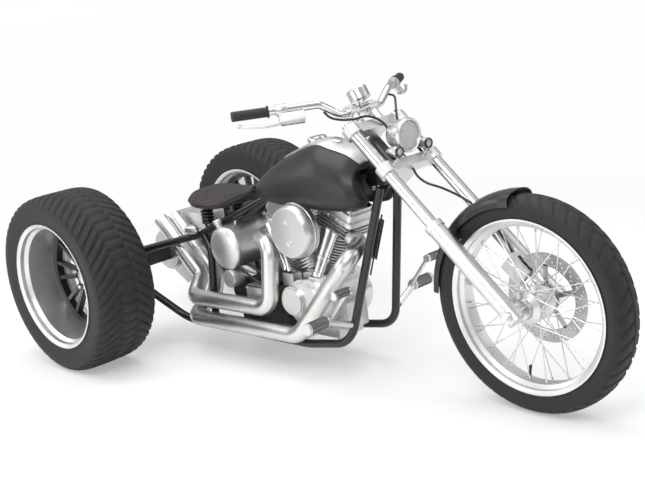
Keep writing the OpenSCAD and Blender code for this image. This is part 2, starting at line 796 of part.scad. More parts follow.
// Fuel tank sections from its tail to its neck: x at the top, half width, bottom, top, lean of the section
tank_rows = [
    [-318, 16, 622, 648, 0], [-290, 48, 608, 678, 0.02], [-190, 100, 598, 738, 0.08], [-60, 131, 594, 796, 0.2],
    [62, tank_half, 596, tank_top, 0.36], [140, tank_half - 1, 602, tank_top - 14, 0.44],
    [210, tank_half - 13, 618, tank_top - 34, 0.4], [262, tank_half - 33, 642, tank_top - 66, 0.3]
];
function tank_point(row, a, off) =
    let (half = row[1], low = row[2], top = row[3], mid = low + 0.38 * (top - low), e = abs(a) < 90 ? 2.15 : 2.9,
        y = (half + off) * sign(sin(a)) * pow(abs(sin(a)), 2 / e),
        z = mid + (abs(a) < 90 ? top - mid + off : low - mid - off) * pow(abs(cos(a)), 2 / e))
    [row[0] + row[4] * (top - z), y, z];

module fuel_tank() {
    rows = smooth(tank_rows, 4);
    sides = 36;
    color("dimgray") difference() {
        loft([for (row = rows) [for (k = [0:sides - 1]) tank_point(row, 180 - (k + 0.5) * 360 / sides, 0)]]);
        // Room for the backbone and the neck
        rod(backbone_front, backbone_rear - [30, 0, 5], 20.5);
        translate(backbone_rear) rotate([90, 0, 0]) cylinder(h = 74, r = 20.5, center = true);
        translate([100, -21, 560]) cube([80, 42, 160]);
        translate([160, -21, 560]) cube([240, 42, 180]);
        translate([232, -62, 560]) cube([160, 124, 186]);
        // Room for the seat rails, the rocker boxes and the back of the air cleaner
        translate([-275, -72, 560]) cube([75, 144, 89]);
        translate([-205, -72, 560]) cube([106, 144, 119]);
        translate([-100, -72, 560]) cube([310, 144, 100]);
        translate([0, -108, 533]) rotate([90, 0, 0]) cylinder(h = 60, r = cleaner_r + 0.4);
    }
}

module tank_dash() {
    rows = [for (row = smooth(tank_rows, 5)) if (row[0] > -110) row];
    spread = 23;
    steps = 8;
    color("silver") loft([for (row = rows) [
        for (k = [0:steps]) tank_point(row, mix(spread, -spread, k / steps), 0.4),
        for (k = [0:steps]) tank_point(row, mix(-spread, spread, k / steps), 5)
    ]]);
}

// Seat sections from its rear to its nose: x, half width, bottom, edge height, crown
seat_rows = [
    [0, 0.36, 580, 620, 2], [0.07, 0.66, 568, 624, 0], [0.2, 0.92, 560, 622, -6], [0.4, 1, 556, 616, -10],
    [0.62, 0.84, 562, 616, -6], [0.84, 0.5, 590, 640, 0], [1, 0.36, 612, 654, 2]
];
seat_rear = -656;

module seat() {
    sides = 28;
    color("dimgray") loft([for (row = smooth(seat_rows, 4))
        let (half = row[1] * seat_w / 2, mid = (row[2] + row[3]) / 2, h = (row[3] - row[2]) / 2)
        [for (k = [0:sides - 1])
            let (a = 90 + (k + 0.5) * 360 / sides, y = half * sign(cos(a)) * pow(abs(cos(a)), 0.55))
            [seat_rear + row[0] * seat_len, y,
                mid + h * sign(sin(a)) * pow(abs(sin(a)), 0.6) + (sin(a) > 0 ? row[4] * (1 - pow(y / half, 2)) : 0)]
        ]
    ]);
}

module seat_springs() {
    foot = 496;
    top = 557.6;
    color("black") for (side = [-1, 1]) {
        translate([-566, side * 78, foot]) cylinder(h = top - foot, r = 13);
        for (k = [0:3]) translate([-566, side * 78, foot + 6.5 + k * 14]) rotate_extrude($fn = 40)
            translate([19, 0]) circle(r = 6.5, $fn = 20);
        translate([-566, side * 90, 485.8]) cylinder(h = 16, r = 5);
    }
}

module battery_box() {
    color("white") translate([-778, 54, axle_z + 83.9]) rounded_plate(196, 100, 70, 18);
}

// ---------------- Controls on the frame and lamps ----------------
module foot_controls(side) {
    peg = [200, -222, 255];
    toe = [300, -204, 372];
    color("silver") mirror([0, side > 0 ? 1 : 0, 0]) {
        rod([213.3, -124.2, 213], [204, -214, 250], 12);
        translate(peg) rotate([90, 0, 0]) {
            cylinder(h = 100, r = 20);
            translate([0, 0, -10]) cylinder(h = 12, r = 15);
        }
        rod(peg + [4, 10.5, 4], toe, 7);
        translate(toe + [0, 6, 0]) rotate([90, 0, 0]) cylinder(h = 78, r = 14);
    }
}

module foot_controls_right() { foot_controls(-1); }
module foot_controls_left() { foot_controls(1); }

module rear_lamps() {
    color("silver") for (side = [-1, 1])
        translate([-644, side * 123.5, 476.5]) rotate([0, 90, 0]) rotate_extrude()
            polygon([[0, 0], [18, 0], [20, 6], [20, 22], [18, 40], [12, 56], [0, 62]]);
}

frame_backbone();
frame_cradle_right();
frame_cradle_left();
frame_rail_right();
frame_rail_left();
axle_housing();
final_drive();
crankcase();
cam_cover();
cylinder_front();
cylinder_rear();
rocker_boxes();
pushrod_tubes();
air_cleaner();
primary_cover();
transmission();
exhaust_front();
exhaust_rear();
oil_tank();
fuel_tank();
tank_dash();
seat();
seat_springs();
battery_box();
foot_controls_right();
foot_controls_left();
rear_lamps();
fork_clamps();
fork_tubes();
fork_sliders();
handlebar();
grips();
hand_control_right();
hand_control_left();
gauge();
headlight();
turn_signals();
front_fender();
front_caliper();
control_cables();
front_tyre();
front_rim();
front_spokes();
front_hub();
front_disc();
rear_tyre_right();
rear_rim_right();
rear_centre_right();
rear_tyre_left();
rear_rim_left();
rear_centre_left();
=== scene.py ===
import json
import math
import random
import bmesh
import bpy
from mathutils import Matrix, Vector


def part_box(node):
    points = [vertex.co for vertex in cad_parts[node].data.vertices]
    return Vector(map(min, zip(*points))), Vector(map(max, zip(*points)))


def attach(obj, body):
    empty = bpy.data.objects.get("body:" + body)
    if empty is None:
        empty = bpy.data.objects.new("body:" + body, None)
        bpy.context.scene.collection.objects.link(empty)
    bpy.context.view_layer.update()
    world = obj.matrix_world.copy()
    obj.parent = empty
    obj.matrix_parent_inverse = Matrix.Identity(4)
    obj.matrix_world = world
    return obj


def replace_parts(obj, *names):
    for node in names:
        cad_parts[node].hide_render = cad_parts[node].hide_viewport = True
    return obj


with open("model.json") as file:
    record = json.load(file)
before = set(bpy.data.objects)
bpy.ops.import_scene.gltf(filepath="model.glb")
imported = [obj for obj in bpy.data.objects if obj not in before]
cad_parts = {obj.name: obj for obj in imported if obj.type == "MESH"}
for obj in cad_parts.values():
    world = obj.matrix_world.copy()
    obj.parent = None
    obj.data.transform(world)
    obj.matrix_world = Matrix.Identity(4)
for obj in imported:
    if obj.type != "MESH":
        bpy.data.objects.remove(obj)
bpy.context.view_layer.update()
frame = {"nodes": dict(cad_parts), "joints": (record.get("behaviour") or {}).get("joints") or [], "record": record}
record = frame["record"]
joints = {joint["name"]: joint for joint in frame["joints"]}
random.seed(7)
mm = 0.001


# Shader wires: sums of sockets read like sums of numbers
class Wire:
    def __init__(self, graph, socket):
        self.graph = graph
        self.socket = socket

    def __add__(self, other):
        return self.graph.maths("ADD", self, other)

    def __radd__(self, other):
        return self.graph.maths("ADD", other, self)

    def __sub__(self, other):
        return self.graph.maths("SUBTRACT", self, other)

    def __rsub__(self, other):
        return self.graph.maths("SUBTRACT", other, self)

    def __mul__(self, other):
        return self.graph.maths("MULTIPLY", self, other)

    def __rmul__(self, other):
        return self.graph.maths("MULTIPLY", other, self)

    def __truediv__(self, other):
        return self.graph.maths("DIVIDE", self, other)

    def __rtruediv__(self, other):
        return self.graph.maths("DIVIDE", other, self)

    def __pow__(self, other):
        return self.graph.maths("POWER", self, other)


class Graph:
    def __init__(self, name):
        self.material = bpy.data.materials.new(name)
        self.material.use_nodes = True
        self.tree = self.material.node_tree
        self.tree.nodes.clear()

    def plug(self, value, socket):
        if isinstance(value, Wire):
            self.tree.links.new(value.socket, socket)
        elif hasattr(value, "__len__") and len(value) == 3 and socket.type == "RGBA":
            socket.default_value = (*value, 1)
        else:
            socket.default_value = value

    def node(self, kind, settings, sockets, out=0):
        made = self.tree.nodes.new(kind)
        for key, value in settings.items():
            setattr(made, key, value)
        for key, value in sockets.items():
            self.plug(value, made.inputs[key])
        return Wire(self, made.outputs[out])

    def maths(self, operation, a, b=0.0, clamp=False):
        return self.node("ShaderNodeMath", {"operation": operation, "use_clamp": clamp}, {0: a, 1: b})

    def mixColour(self, factor, a, b):
        return self.node("ShaderNodeMix", {"data_type": "RGBA"}, {0: factor, 6: a, 7: b}, 2)

    def vectorMaths(self, operation, a, b=(0, 0, 0), out=0):
        return self.node("ShaderNodeVectorMath", {"operation": operation}, {0: a, 1: b}, out)

    def place(self):
        return self.node("ShaderNodeTexCoord", {}, {}, "Object")

    def noise(self, scale, detail=3.0, stretch=(1, 1, 1)):
        where = self.vectorMaths("MULTIPLY", self.place(), stretch)
        return self.node("ShaderNodeTexNoise", {}, {"Vector": where, "Scale": scale, "Detail": detail}, 0)

    def ramp(self, value, low, high, lowOut=0.0, highOut=1.0):
        return self.node("ShaderNodeMapRange", {"clamp": True},
                         {"Value": value, "From Min": low, "From Max": high, "To Min": lowOut,
                          "To Max": highOut})

    def close(self, shader):
        out = self.tree.nodes.new("ShaderNodeOutputMaterial")
        self.tree.links.new(shader.socket, out.inputs["Surface"])
        return self.material


# One finish: colour and roughness that vary, a fine grain, and edges that catch the light
def finish(name, colour, roughness, metallic=0.0, coat=0.0, shade=0.12, spread=0.06, patch=14.0, grain=420.0,
           bump=0.00004, stretch=(1, 1, 1), edge=0.0012):
    g = Graph(name)
    cloud = g.noise(patch, 4.0)
    fine = g.noise(grain, 2.0, stretch)
    dark = tuple(c * (1 - shade) for c in colour)
    light = tuple(min(1.0, c * (1 + shade)) for c in colour)
    tone = g.mixColour(g.ramp(cloud * 0.7 + fine * 0.3, 0.35, 0.65), dark, light)
    rough = g.maths("ADD", (cloud - 0.5) * (spread * 2) + (fine - 0.5) * spread, roughness, True)
    rounded = g.node("ShaderNodeBevel", {"samples": 4}, {"Radius": edge})
    normal = g.node("ShaderNodeBump", {},
                    {"Strength": 0.6, "Distance": bump, "Height": fine, "Normal": rounded})
    return g.close(g.node("ShaderNodeBsdfPrincipled", {}, {
        "Base Color": tone, "Roughness": rough, "Metallic": metallic, "Coat Weight": coat,
        "Coat Roughness": 0.08,
        "Normal": normal, "Sheen Weight": 0.0}))


def tyreFinish(name, colour, centre, ringScale):
    g = Graph(name)
    offset = g.vectorMaths("SUBTRACT", g.place(), centre)
    flat = g.vectorMaths("MULTIPLY", offset, (1, 0, 1))
    radius = g.vectorMaths("LENGTH", flat, out=1)
    cloud = g.noise(22.0, 5.0)
    fine = g.noise(900.0, 2.0)
    rings = g.maths("SINE", radius * ringScale)
    tone = g.mixColour(g.ramp(cloud, 0.35, 0.68), tuple(c * 0.8 for c in colour),
                       tuple(c * 1.5 for c in colour))
    rough = (cloud - 0.5) * 0.16 + 0.68
    normal = g.node("ShaderNodeBump", {},
                    {"Strength": 0.5, "Distance": 0.0006, "Height": rings * 0.35 + fine * 0.5})
    return g.close(g.node("ShaderNodeBsdfPrincipled", {}, {
        "Base Color": tone, "Roughness": rough, "Normal": normal, "Sheen Weight": 0.05}))


def leatherFinish(name, colour):
    g = Graph(name)
    cells = g.node("ShaderNodeTexVoronoi", {"feature": "DISTANCE_TO_EDGE"},
                   {"Vector": g.place(), "Scale": 420.0})
    cloud = g.noise(9.0, 5.0)
    creases = g.noise(46.0, 7.0, (1, 2.4, 1))
    tone = g.mixColour(g.ramp(cloud, 0.3, 0.7), tuple(c * 0.7 for c in colour),
                       tuple(c * 1.5 for c in colour))
    tone = g.mixColour(g.ramp(creases, 0.56, 0.72, 0.0, 0.35), tone, tuple(min(1, c * 2.2) for c in colour))
    rough = (cloud - 0.5) * 0.2 + g.ramp(cells, 0.0, 0.12, 0.62, 0.44)
    height = g.ramp(cells, 0.0, 0.16) * 0.6 + creases * 1.6
    normal = g.node("ShaderNodeBump", {}, {"Strength": 0.55, "Distance": 0.0007, "Height": height})
    return g.close(g.node("ShaderNodeBsdfPrincipled", {}, {
        "Base Color": tone, "Roughness": rough, "Normal": normal, "Coat Weight": 0.05,
        "Coat Roughness": 0.35}))


def lensFinish(name, tint, ribs):
    g = Graph(name)
    across = g.node("ShaderNodeSeparateXYZ", {}, {0: g.place()}, 1)
    ripple = g.maths("SINE", across * ribs)
    cloud = g.noise(30.0)
    normal = g.node("ShaderNodeBump", {}, {"Strength": 0.35, "Distance": 0.001, "Height": ripple})
    return g.close(g.node("ShaderNodeBsdfPrincipled", {}, {
        "Base Color": g.mixColour(cloud, tint, tuple(c * 0.9 for c in tint)),
        "Roughness": cloud * 0.06 + 0.04,
        "Alpha": cloud * 0.1 + 0.2, "Normal": normal, "Coat Weight": 0.4}))


print("materials")
finishes = {
    "frame_black": finish("frame_black", (0.007, 0.007, 0.0075), 0.34, coat=0.25, spread=0.05),
    "tank_black": finish("tank_black", (0.0125, 0.0125, 0.0145), 0.46, coat=0.06, patch=5.0, spread=0.05,
                         bump=0.00001),
    "cast_alloy": finish("cast_alloy", (0.64, 0.64, 0.63), 0.46, 1.0, patch=30.0, bump=0.00008, edge=0.0015),
    "polished_alloy": finish("polished_alloy", (0.7, 0.7, 0.69), 0.33, 1.0, shade=0.08, spread=0.07,
                             edge=0.002),
    "brushed_alloy": finish("brushed_alloy", (0.68, 0.68, 0.67), 0.44, 1.0, grain=600.0, stretch=(0.05, 1, 1),
                            edge=0.0015),
    "chrome_parts": finish("chrome_parts", (0.72, 0.72, 0.72), 0.16, 1.0, shade=0.05, spread=0.04,
                           bump=0.000004, edge=0.0015),
    "exhaust_metal": finish("exhaust_metal", (0.7, 0.695, 0.68), 0.33, 1.0, shade=0.1, spread=0.08, patch=6.0,
                            edge=0.003),
    "rim_metal": finish("rim_metal", (0.78, 0.78, 0.77), 0.42, 1.0, shade=0.1, spread=0.06, patch=8.0,
                        grain=300.0, edge=0.001),
    "disc_steel": finish("disc_steel", (0.42, 0.42, 0.42), 0.3, 1.0, grain=700.0),
    "grip_rubber": finish("grip_rubber", (0.02, 0.02, 0.02), 0.6, grain=900.0, bump=0.0002),
    "cable_black": finish("cable_black", (0.016, 0.016, 0.016), 0.42, grain=1500.0, bump=0.0001),
    "wheel_black": finish("wheel_black", (0.013, 0.013, 0.014), 0.34, coat=0.25, spread=0.06),
    "gearbox_black": finish("gearbox_black", (0.018, 0.018, 0.019), 0.52, grain=300.0, bump=0.0004),
    "seat_leather": leatherFinish("seat_leather", (0.023, 0.018, 0.017)),
    "lens_clear": lensFinish("lens_clear", (0.95, 0.96, 0.97), 900.0),
    "dark_glass": finish("dark_glass", (0.01, 0.011, 0.012), 0.08, coat=1.0, bump=0.000001),
    "thread": finish("thread", (0.09, 0.075, 0.06), 0.7, grain=2000.0, bump=0.0002),
    # dark_recess: near-black finish, painted shade for recessed parts
    "dark_recess": finish("dark_recess", (0.008, 0.008, 0.008), 0.6),
    "pale_box": finish("pale_box", (0.7, 0.7, 0.68), 0.42, 0.3, grain=500.0),
    "stripe_dark": finish("stripe_dark", (0.03, 0.03, 0.035), 0.4),
}
wheelCentres = {
    "front": Vector(joints["front_wheel_spin"]["pos_m"]),
    "right": Vector(joints["rear_right_spin"]["pos_m"]),
    "left": Vector(joints["rear_left_spin"]["pos_m"]),
}
for side, centre in wheelCentres.items():
    finishes["tyre_" + side] = tyreFinish("tyre_" + side, (0.0085, 0.0085, 0.0095), tuple(centre), 420.0)
nodeSlots = {part["node"]: part["material_slot"] for part in record["subparts"]}
for node, obj in frame["nodes"].items():
    obj.data.materials.clear()
    look = "rim_metal" if "_rim" in node else nodeSlots[node]
    obj.data.materials.append(finishes.get(look, finishes["cast_alloy"]))


# Shapes, gathered into one mesh for each piece
def framed(origin, axis, ahead=None):
    z = Vector(axis).normalized()
    guide = Vector(ahead) if ahead else (Vector((0, 0, 1)) if abs(z.z) < 0.9 else Vector((1, 0, 0)))
    x = (guide - z * guide.dot(z)).normalized()
    y = z.cross(x)
    matrix = Matrix((x, y, z)).transposed().to_4x4()
    matrix.translation = Vector(origin)
    return matrix


class Piece:
    def __init__(self, name):
        self.name = name
        self.mesh = bmesh.new()

    def skin(self, rings, capStart=True, capEnd=True, closed=False):
        grid = [[self.mesh.verts.new(point) for point in ring] for ring in rings]
        count = len(grid[0])
        rows = len(grid)
        for i in range(rows if closed else rows - 1):
            here, there = grid[i], grid[(i + 1) % rows]
            for j in range(count):
                k = (j + 1) % count
                self.mesh.faces.new((here[j], here[k], there[k], there[j]))
        if capStart and not closed:
            self.mesh.faces.new(list(reversed(grid[0])))
        if capEnd and not closed:
            self.mesh.faces.new(grid[-1])
        return self

    # Profile of (radius, along) about an axis
    def lathe(self, profile, origin, axis, steps=64, closed=False):
        matrix = framed(origin, axis)
        rings = []
        for radius, along in profile:
            r = max(radius, 0.00002)
            rings.append([matrix @ Vector((r * math.cos(2 * math.pi * k / steps),
                                           r * math.sin(2 * math.pi * k / steps), along))
                          for k in range(steps)])
        return self.skin(rings, closed=closed)

    def rod(self, a, b, radius, steps=20, radiusEnd=None):
        a, b = Vector(a), Vector(b)
        end = radius if radiusEnd is None else radiusEnd
        return self.lathe([(radius, 0), (end, (b - a).length)], a, b - a, steps)

    def tube(self, points, radius, sides=14):
        points = [Vector(p) for p in points]
        rings = []
        normal = None
        for i, p in enumerate(points):
            t = (points[min(i + 1, len(points) - 1)] - points[max(i - 1, 0)]).normalized()
            if normal is None:
                normal = framed(p, t).col[0].to_3d()
            normal = (normal - t * normal.dot(t)).normalized()
            side = t.cross(normal)
            r = radius[i] if isinstance(radius, list) else radius
            rings.append([p + (normal * math.cos(2 * math.pi * k / sides)
                               + side * math.sin(2 * math.pi * k / sides)) * r
                          for k in range(sides)])
        return self.skin(rings)

    def block(self, centre, size, soft=0.002, matrix=None):
        made = bmesh.ops.create_cube(self.mesh, size=1.0)["verts"]
        local = Matrix.Translation(Vector(centre)) @ Matrix.Diagonal((*size, 1))
        bmesh.ops.transform(self.mesh, matrix=(matrix @ local) if matrix else local, verts=made)
        if soft:
            edges = {edge for vert in made for edge in vert.link_edges}
            bmesh.ops.bevel(self.mesh, geom=list(edges), offset=soft, segments=2, affect="EDGES", profile=0.6)
        return self

    def ball(self, centre, radius, flat=1.0, axis=(0, 0, 1)):
        made = bmesh.ops.create_uvsphere(self.mesh, u_segments=20, v_segments=12, radius=radius)["verts"]
        bmesh.ops.transform(self.mesh, matrix=framed(centre, axis) @ Matrix.Diagonal((1, 1, flat, 1)),
                            verts=made)
        return self

    def bolt(self, at, axis, radius, height, sides=6):
        self.lathe([(radius * 1.35, 0), (radius * 1.35, height * 0.22)], at, axis, 20)
        return self.lathe([(radius, height * 0.22), (radius, height * 0.85), (radius * 0.8, height)], at,
                          axis, sides)

    def done(self, material, body, angle=38):
        bmesh.ops.recalc_face_normals(self.mesh, faces=self.mesh.faces)
        data = bpy.data.meshes.new(self.name)
        self.mesh.to_mesh(data)
        self.mesh.free()
        for face in data.polygons:
            face.use_smooth = True
        data.set_sharp_from_angle(angle=math.radians(angle))
        data.materials.append(finishes[material])
        obj = bpy.data.objects.new(self.name, data)
        bpy.context.scene.collection.objects.link(obj)
        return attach(obj, body) if body else obj


def size(node):
    low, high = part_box(node)
    return high - low


# Tyres with their tread cut in
def treadTyre(name, centre, values, groove, body, material, node):
    radius, width = values["radius"], values["width"]
    bead, beadWidth = values["bead"], values["beadWidth"]
    around, across = values["around"], values["across"]
    mid = (radius + bead) / 2
    section = [(bead, beadWidth / 2), (bead + values["lip"], beadWidth / 2)]
    for k in range(across + 1):
        a = math.pi * k / across
        c, s = math.cos(a), math.sin(a)
        section.append((mid + (radius - mid) * abs(s) ** (2 / values["square"]),
                        width / 2 * math.copysign(abs(c) ** (2 / values["square"]), c)))
    section += [(bead + values["lip"], -beadWidth / 2), (bead, -beadWidth / 2)]
    piece = Piece(name)
    rings = []
    for k in range(around):
        phi = 2 * math.pi * k / around
        ring = []
        for r, y in section:
            depth = groove(phi, y / (width / 2)) if r > radius - values["shoulder"] else 0
            rr = r - depth
            ring.append(centre + Vector((rr * math.cos(phi), y, rr * math.sin(phi))))
        rings.append(ring)
    obj = piece.skin(rings, closed=True).done(material, body, 50)
    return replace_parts(obj, node)


def band(value, half, soft):
    return max(0.0, min(1.0, (half - abs(value)) / soft + 0.5))


print("tyres")
rearTread = {"radius": 0.348, "width": 0.253, "bead": 0.2383, "beadWidth": 0.232, "lip": 0.0092,
             "square": 4.6,
             "around": 540, "across": 96, "shoulder": 0.022, "depth": 0.0065, "pitch": 54, "sweep": 2.6}


def rearGroove(phi, t):
    cut = max(band(abs(t) - 0.3, 0.035, 0.02), 0.0)
    turn = phi * rearTread["pitch"] / (2 * math.pi)
    if abs(t) > 0.07:
        slant = (turn + abs(t) * rearTread["sweep"]) % 1.0 - 0.5
        cut = max(cut, band(slant, 0.15 + 0.05 * abs(t), 0.12) * min(1.0, (abs(t) - 0.07) / 0.05))
    return cut * rearTread["depth"]


for side in ("right", "left"):
    treadTyre("rear_tread_" + side, wheelCentres[side], rearTread, rearGroove, "rear_wheel_" + side,
              "tyre_" + side, "rear_tyre_" + side)

frontTread = {"radius": 0.348, "width": 0.116, "bead": 0.2723, "beadWidth": 0.083, "lip": 0.0092,
              "square": 2.3,
              "around": 540, "across": 60, "shoulder": 0.034, "depth": 0.0045, "pitch": 45, "sweep": 0.9}


def frontGroove(phi, t):
    cut = band(t, 0.05, 0.04)
    turn = phi * frontTread["pitch"] / (2 * math.pi)
    half = 0.0 if t > 0 else 0.5
    if 0.14 < abs(t) < 0.86:
        slant = (turn + half + abs(t) ** 1.5 * frontTread["sweep"]) % 1.0 - 0.5
        cut = max(cut, band(slant, 0.13, 0.08))
    return cut * frontTread["depth"]


treadTyre("front_tread", wheelCentres["front"], frontTread, frontGroove, "front_wheel", "tyre_front",
          "front_tyre")

print("wheel details")
nipples = Piece("spoke_nipples")
spokes = {"count": 40, "bed": 0.2516, "lean": 3, "lace": 44}
for side in (-1, 1):
    for i in range(spokes["count"] // 4):
        for lace in (-1, 1):
            a = 360 * (i + (0.5 if side > 0 else 0)) / (spokes["count"] / 4) + lace * spokes["lean"]
            b = a + lace * spokes["lace"]
            start = Vector((0.056 * math.cos(math.radians(a)), side * 0.036,
                            0.056 * math.sin(math.radians(a))))
            end = Vector((spokes["bed"] * math.cos(math.radians(b)), side * 0.006,
                          spokes["bed"] * math.sin(math.radians(b))))
            along = (start - end).normalized()
            nipples.rod(wheelCentres["front"] + end, wheelCentres["front"] + end + along * 0.014, 0.0034, 10)
            nipples.ball(wheelCentres["front"] + start, 0.0042)
nipples.done("chrome_parts", "front_wheel")

valve = Piece("valve_stem")
valveAngle = math.radians(262)
valveAt = wheelCentres["front"] + Vector((math.cos(valveAngle), 0, math.sin(valveAngle))) * 0.253
valveIn = wheelCentres["front"] + Vector((math.cos(valveAngle), 0, math.sin(valveAngle))) * 0.218
valve.rod(valveAt, valveIn, 0.0042, 12).rod(valveIn, valveIn + (valveIn - valveAt).normalized() * 0.01,
                                            0.0052, 12)
valve.done("gearbox_black", "front_wheel")

axleEnds = Piece("front_axle_nuts")
for side in (-1, 1):
    legs = size("fork_sliders").y / 2
    axleEnds.bolt(wheelCentres["front"] + Vector((0, side * (legs - 0.001), 0)), (0, side, 0), 0.012, 0.012)
axleEnds.done("chrome_parts", "fork")

for side, sign in (("right", -1), ("left", 1)):
    nuts = Piece("lug_nuts_" + side)
    faceY = (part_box("rear_centre_" + side)[0 if sign < 0 else 1]).y
    hub = wheelCentres[side].copy()
    hub.y = faceY
    for k in range(5):
        a = math.radians(72 * k + 18)
        at = hub + Vector((0.054 * math.cos(a), -sign * 0.011, 0.054 * math.sin(a)))
        nuts.bolt(at, (0, sign, 0), 0.0095, 0.026)
    nuts.lathe([(0.029, -0.004), (0.029, 0.008), (0.024, 0.016), (0.012, 0.02), (0, 0.021)], hub,
               (0, sign, 0), 40)
    nuts.done("chrome_parts", "rear_wheel_" + side)

# Drilled brake disc of the front wheel
disc = {"outer": 0.146, "inner": 0.104, "thick": 0.005,
        "rows": [(0.112, 0.0035), (0.121, 0.004), (0.130, 0.004), (0.139, 0.0035)],
        "holes": 20, "y": 0.072}
discPiece = Piece("drilled_disc")
discCentre = wheelCentres["front"] + Vector((0, disc["y"], 0))


def discCircle(mesh, centre, radius, steps):
    verts = [mesh.verts.new(centre + Vector((radius * math.cos(2 * math.pi * k / steps), 0,
                                             radius * math.sin(2 * math.pi * k / steps))))
             for k in range(steps)]
    return [mesh.edges.new((verts[k], verts[(k + 1) % steps])) for k in range(steps)]


low = discCentre - Vector((0, disc["thick"] / 2, 0))
edges = discCircle(discPiece.mesh, low, disc["outer"], 96) + discCircle(discPiece.mesh, low, disc["inner"],
                                                                        72)
for row, (radius, hole) in enumerate(disc["rows"]):
    for k in range(disc["holes"]):
        a = 2 * math.pi * (k + row * 0.28) / disc["holes"]
        edges += discCircle(discPiece.mesh, low + Vector((radius * math.cos(a), 0, radius * math.sin(a))),
                            hole, 8)
filled = bmesh.ops.triangle_fill(discPiece.mesh, edges=edges, use_beauty=True, normal=(0, 1, 0))
flatFaces = [item for item in filled["geom"] if isinstance(item, bmesh.types.BMFace)]
raised = bmesh.ops.extrude_face_region(discPiece.mesh, geom=flatFaces)
bmesh.ops.translate(discPiece.mesh, vec=(0, disc["thick"], 0),
                    verts=[item for item in raised["geom"] if isinstance(item, bmesh.types.BMVert)])
for k in range(5):
    a = 2 * math.pi * k / 5 + 0.3
    radial = Vector((math.cos(a), 0, math.sin(a)))
    discPiece.block((0.074, 0, 0), (0.07, 0.005, 0.016), 0.001,
                    Matrix.Translation(discCentre) @ Matrix.Rotation(-a, 4, "Y"))
    discPiece.bolt(discCentre + radial * 0.1 + Vector((0, 0.002, 0)), (0, 1, 0), 0.005, 0.005)
    discPiece.bolt(discCentre + radial * 0.036 + Vector((0, 0.002, 0)), (0, 1, 0), 0.005, 0.005)
discPiece.lathe([(0.017, -0.005), (0.046, -0.005), (0.046, 0.0025), (0.017, 0.0025)], discCentre, (0, 1, 0),
                48, closed=True)
discPiece.done("disc_steel", "front_wheel", 30)
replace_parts(bpy.data.objects["drilled_disc"], "front_disc")

cover = {"centre": (-0.001, 0.258), "radius": 0.086, "count": 10}
covers = Piece("cover_screws")
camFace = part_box("cam_cover")[0].y
for k in range(cover["count"]):
    a = 2 * math.pi * (k + 0.5) / cover["count"]
    at = (cover["centre"][0] + cover["radius"] * math.cos(a), camFace + 0.022,
          cover["centre"][1] + cover["radius"] * math.sin(a))
    covers.bolt(at, (0, -1, 0), 0.0036, 0.004)
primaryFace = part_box("primary_cover")[1].y
for x, z in [(-0.33, 0.345), (-0.25, 0.332), (-0.17, 0.332), (-0.09, 0.332), (-0.015, 0.332), (0.06, 0.285),
             (0.06, 0.2),
             (-0.015, 0.158), (-0.12, 0.158), (-0.22, 0.158), (-0.33, 0.144), (-0.425, 0.2), (-0.425, 0.29)]:
    covers.bolt((x, primaryFace - 0.0085, z), (0, 1, 0), 0.0036, 0.004)
covers.done("chrome_parts", "chassis")

# Rocker box bolts and the collars of the pushrod tubes
topEnd = {"crank": (-0.015, 0.25), "lean": 22.5,
          "boltRows": [(-0.07, -0.055), (-0.025, -0.055), (0.025, -0.055), (0.07, -0.055),
                                                              (-0.07, 0.055), (0.07, 0.055), (0, 0.055)]}
heads = Piece("head_bolts")
for lean in (-1, 1):
    turn = Matrix.Translation((topEnd["crank"][0], 0,
                               topEnd["crank"][1])) @ Matrix.Rotation(math.radians(topEnd["lean"] * lean), 4,
                                                                      "Y")
    up = turn.to_3x3() @ Vector((0, 0, 1))
    for x, y in topEnd["boltRows"]:
        heads.bolt(turn @ Vector((x, y, 0.391)), up, 0.0045, 0.009)
    for x in (-0.06, -0.02, 0.02, 0.06):
        heads.bolt(turn @ Vector((x, -0.0665, 0.354)), turn.to_3x3() @ Vector((0, -1, 0)), 0.004, 0.006)
heads.done("chrome_parts", "chassis")

collars = Piece("pushrod_collars")
pushrods = [[(0.058, 0.3686), (0.138, 0.546)], [(0.080, 0.3686), (0.168, 0.532)]]
for side in (-1, 1):
    for foot, top in pushrods:
        a = Vector((-0.015 + side * (foot[0] + 0.015 - 0.008), -0.112, foot[1]))
        b = Vector((-0.015 + side * (top[0] + 0.015 - 0.008), -0.096, top[1]))
        collars.rod(a, a.lerp(b, 0.09), 0.0135, 24)
        collars.rod(a.lerp(b, 0.36), a.lerp(b, 0.44), 0.0125, 24)
        collars.rod(a.lerp(b, 0.93), b, 0.0125, 24)
collars.done("chrome_parts", "chassis")

# Round air cleaner with a stepped face and two bolts
cleaner = {"profile": [(0.04, 0.0), (0.098, 0.0), (0.102, 0.004), (0.102, 0.022), (0.0995, 0.024),
                       (0.0995, 0.028), (0.101, 0.032),
                       (0.0985, 0.044), (0.0945, 0.053), (0.0895, 0.0595), (0.0875, 0.0598), (0.0865, 0.0585),
                       (0.085, 0.0600), (0.04, 0.0603), (0, 0.0605)],
           "bolts": 0.039}
low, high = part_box("air_cleaner")
cleanerAt = Vector((0.0, low.y + 0.0665, 0.533))
airCleaner = Piece("air_cleaner_cover").lathe(cleaner["profile"], cleanerAt, (0, -1, 0), 112)
airCleaner.rod((-0.015, -0.113, 0.533), (-0.015, -0.03, 0.533), 0.024, 32)
airCleaner = airCleaner.done("polished_alloy", "chassis", 24)
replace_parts(airCleaner, "air_cleaner")
cleanerBolts = Piece("air_cleaner_bolts")
for dz in (-cleaner["bolts"], cleaner["bolts"]):
    cleanerBolts.bolt(cleanerAt + Vector((0, -0.0605, dz)), (0, -1, 0), 0.0075, 0.008)
cleanerBolts.done("chrome_parts", "chassis")

print("fuel tank")
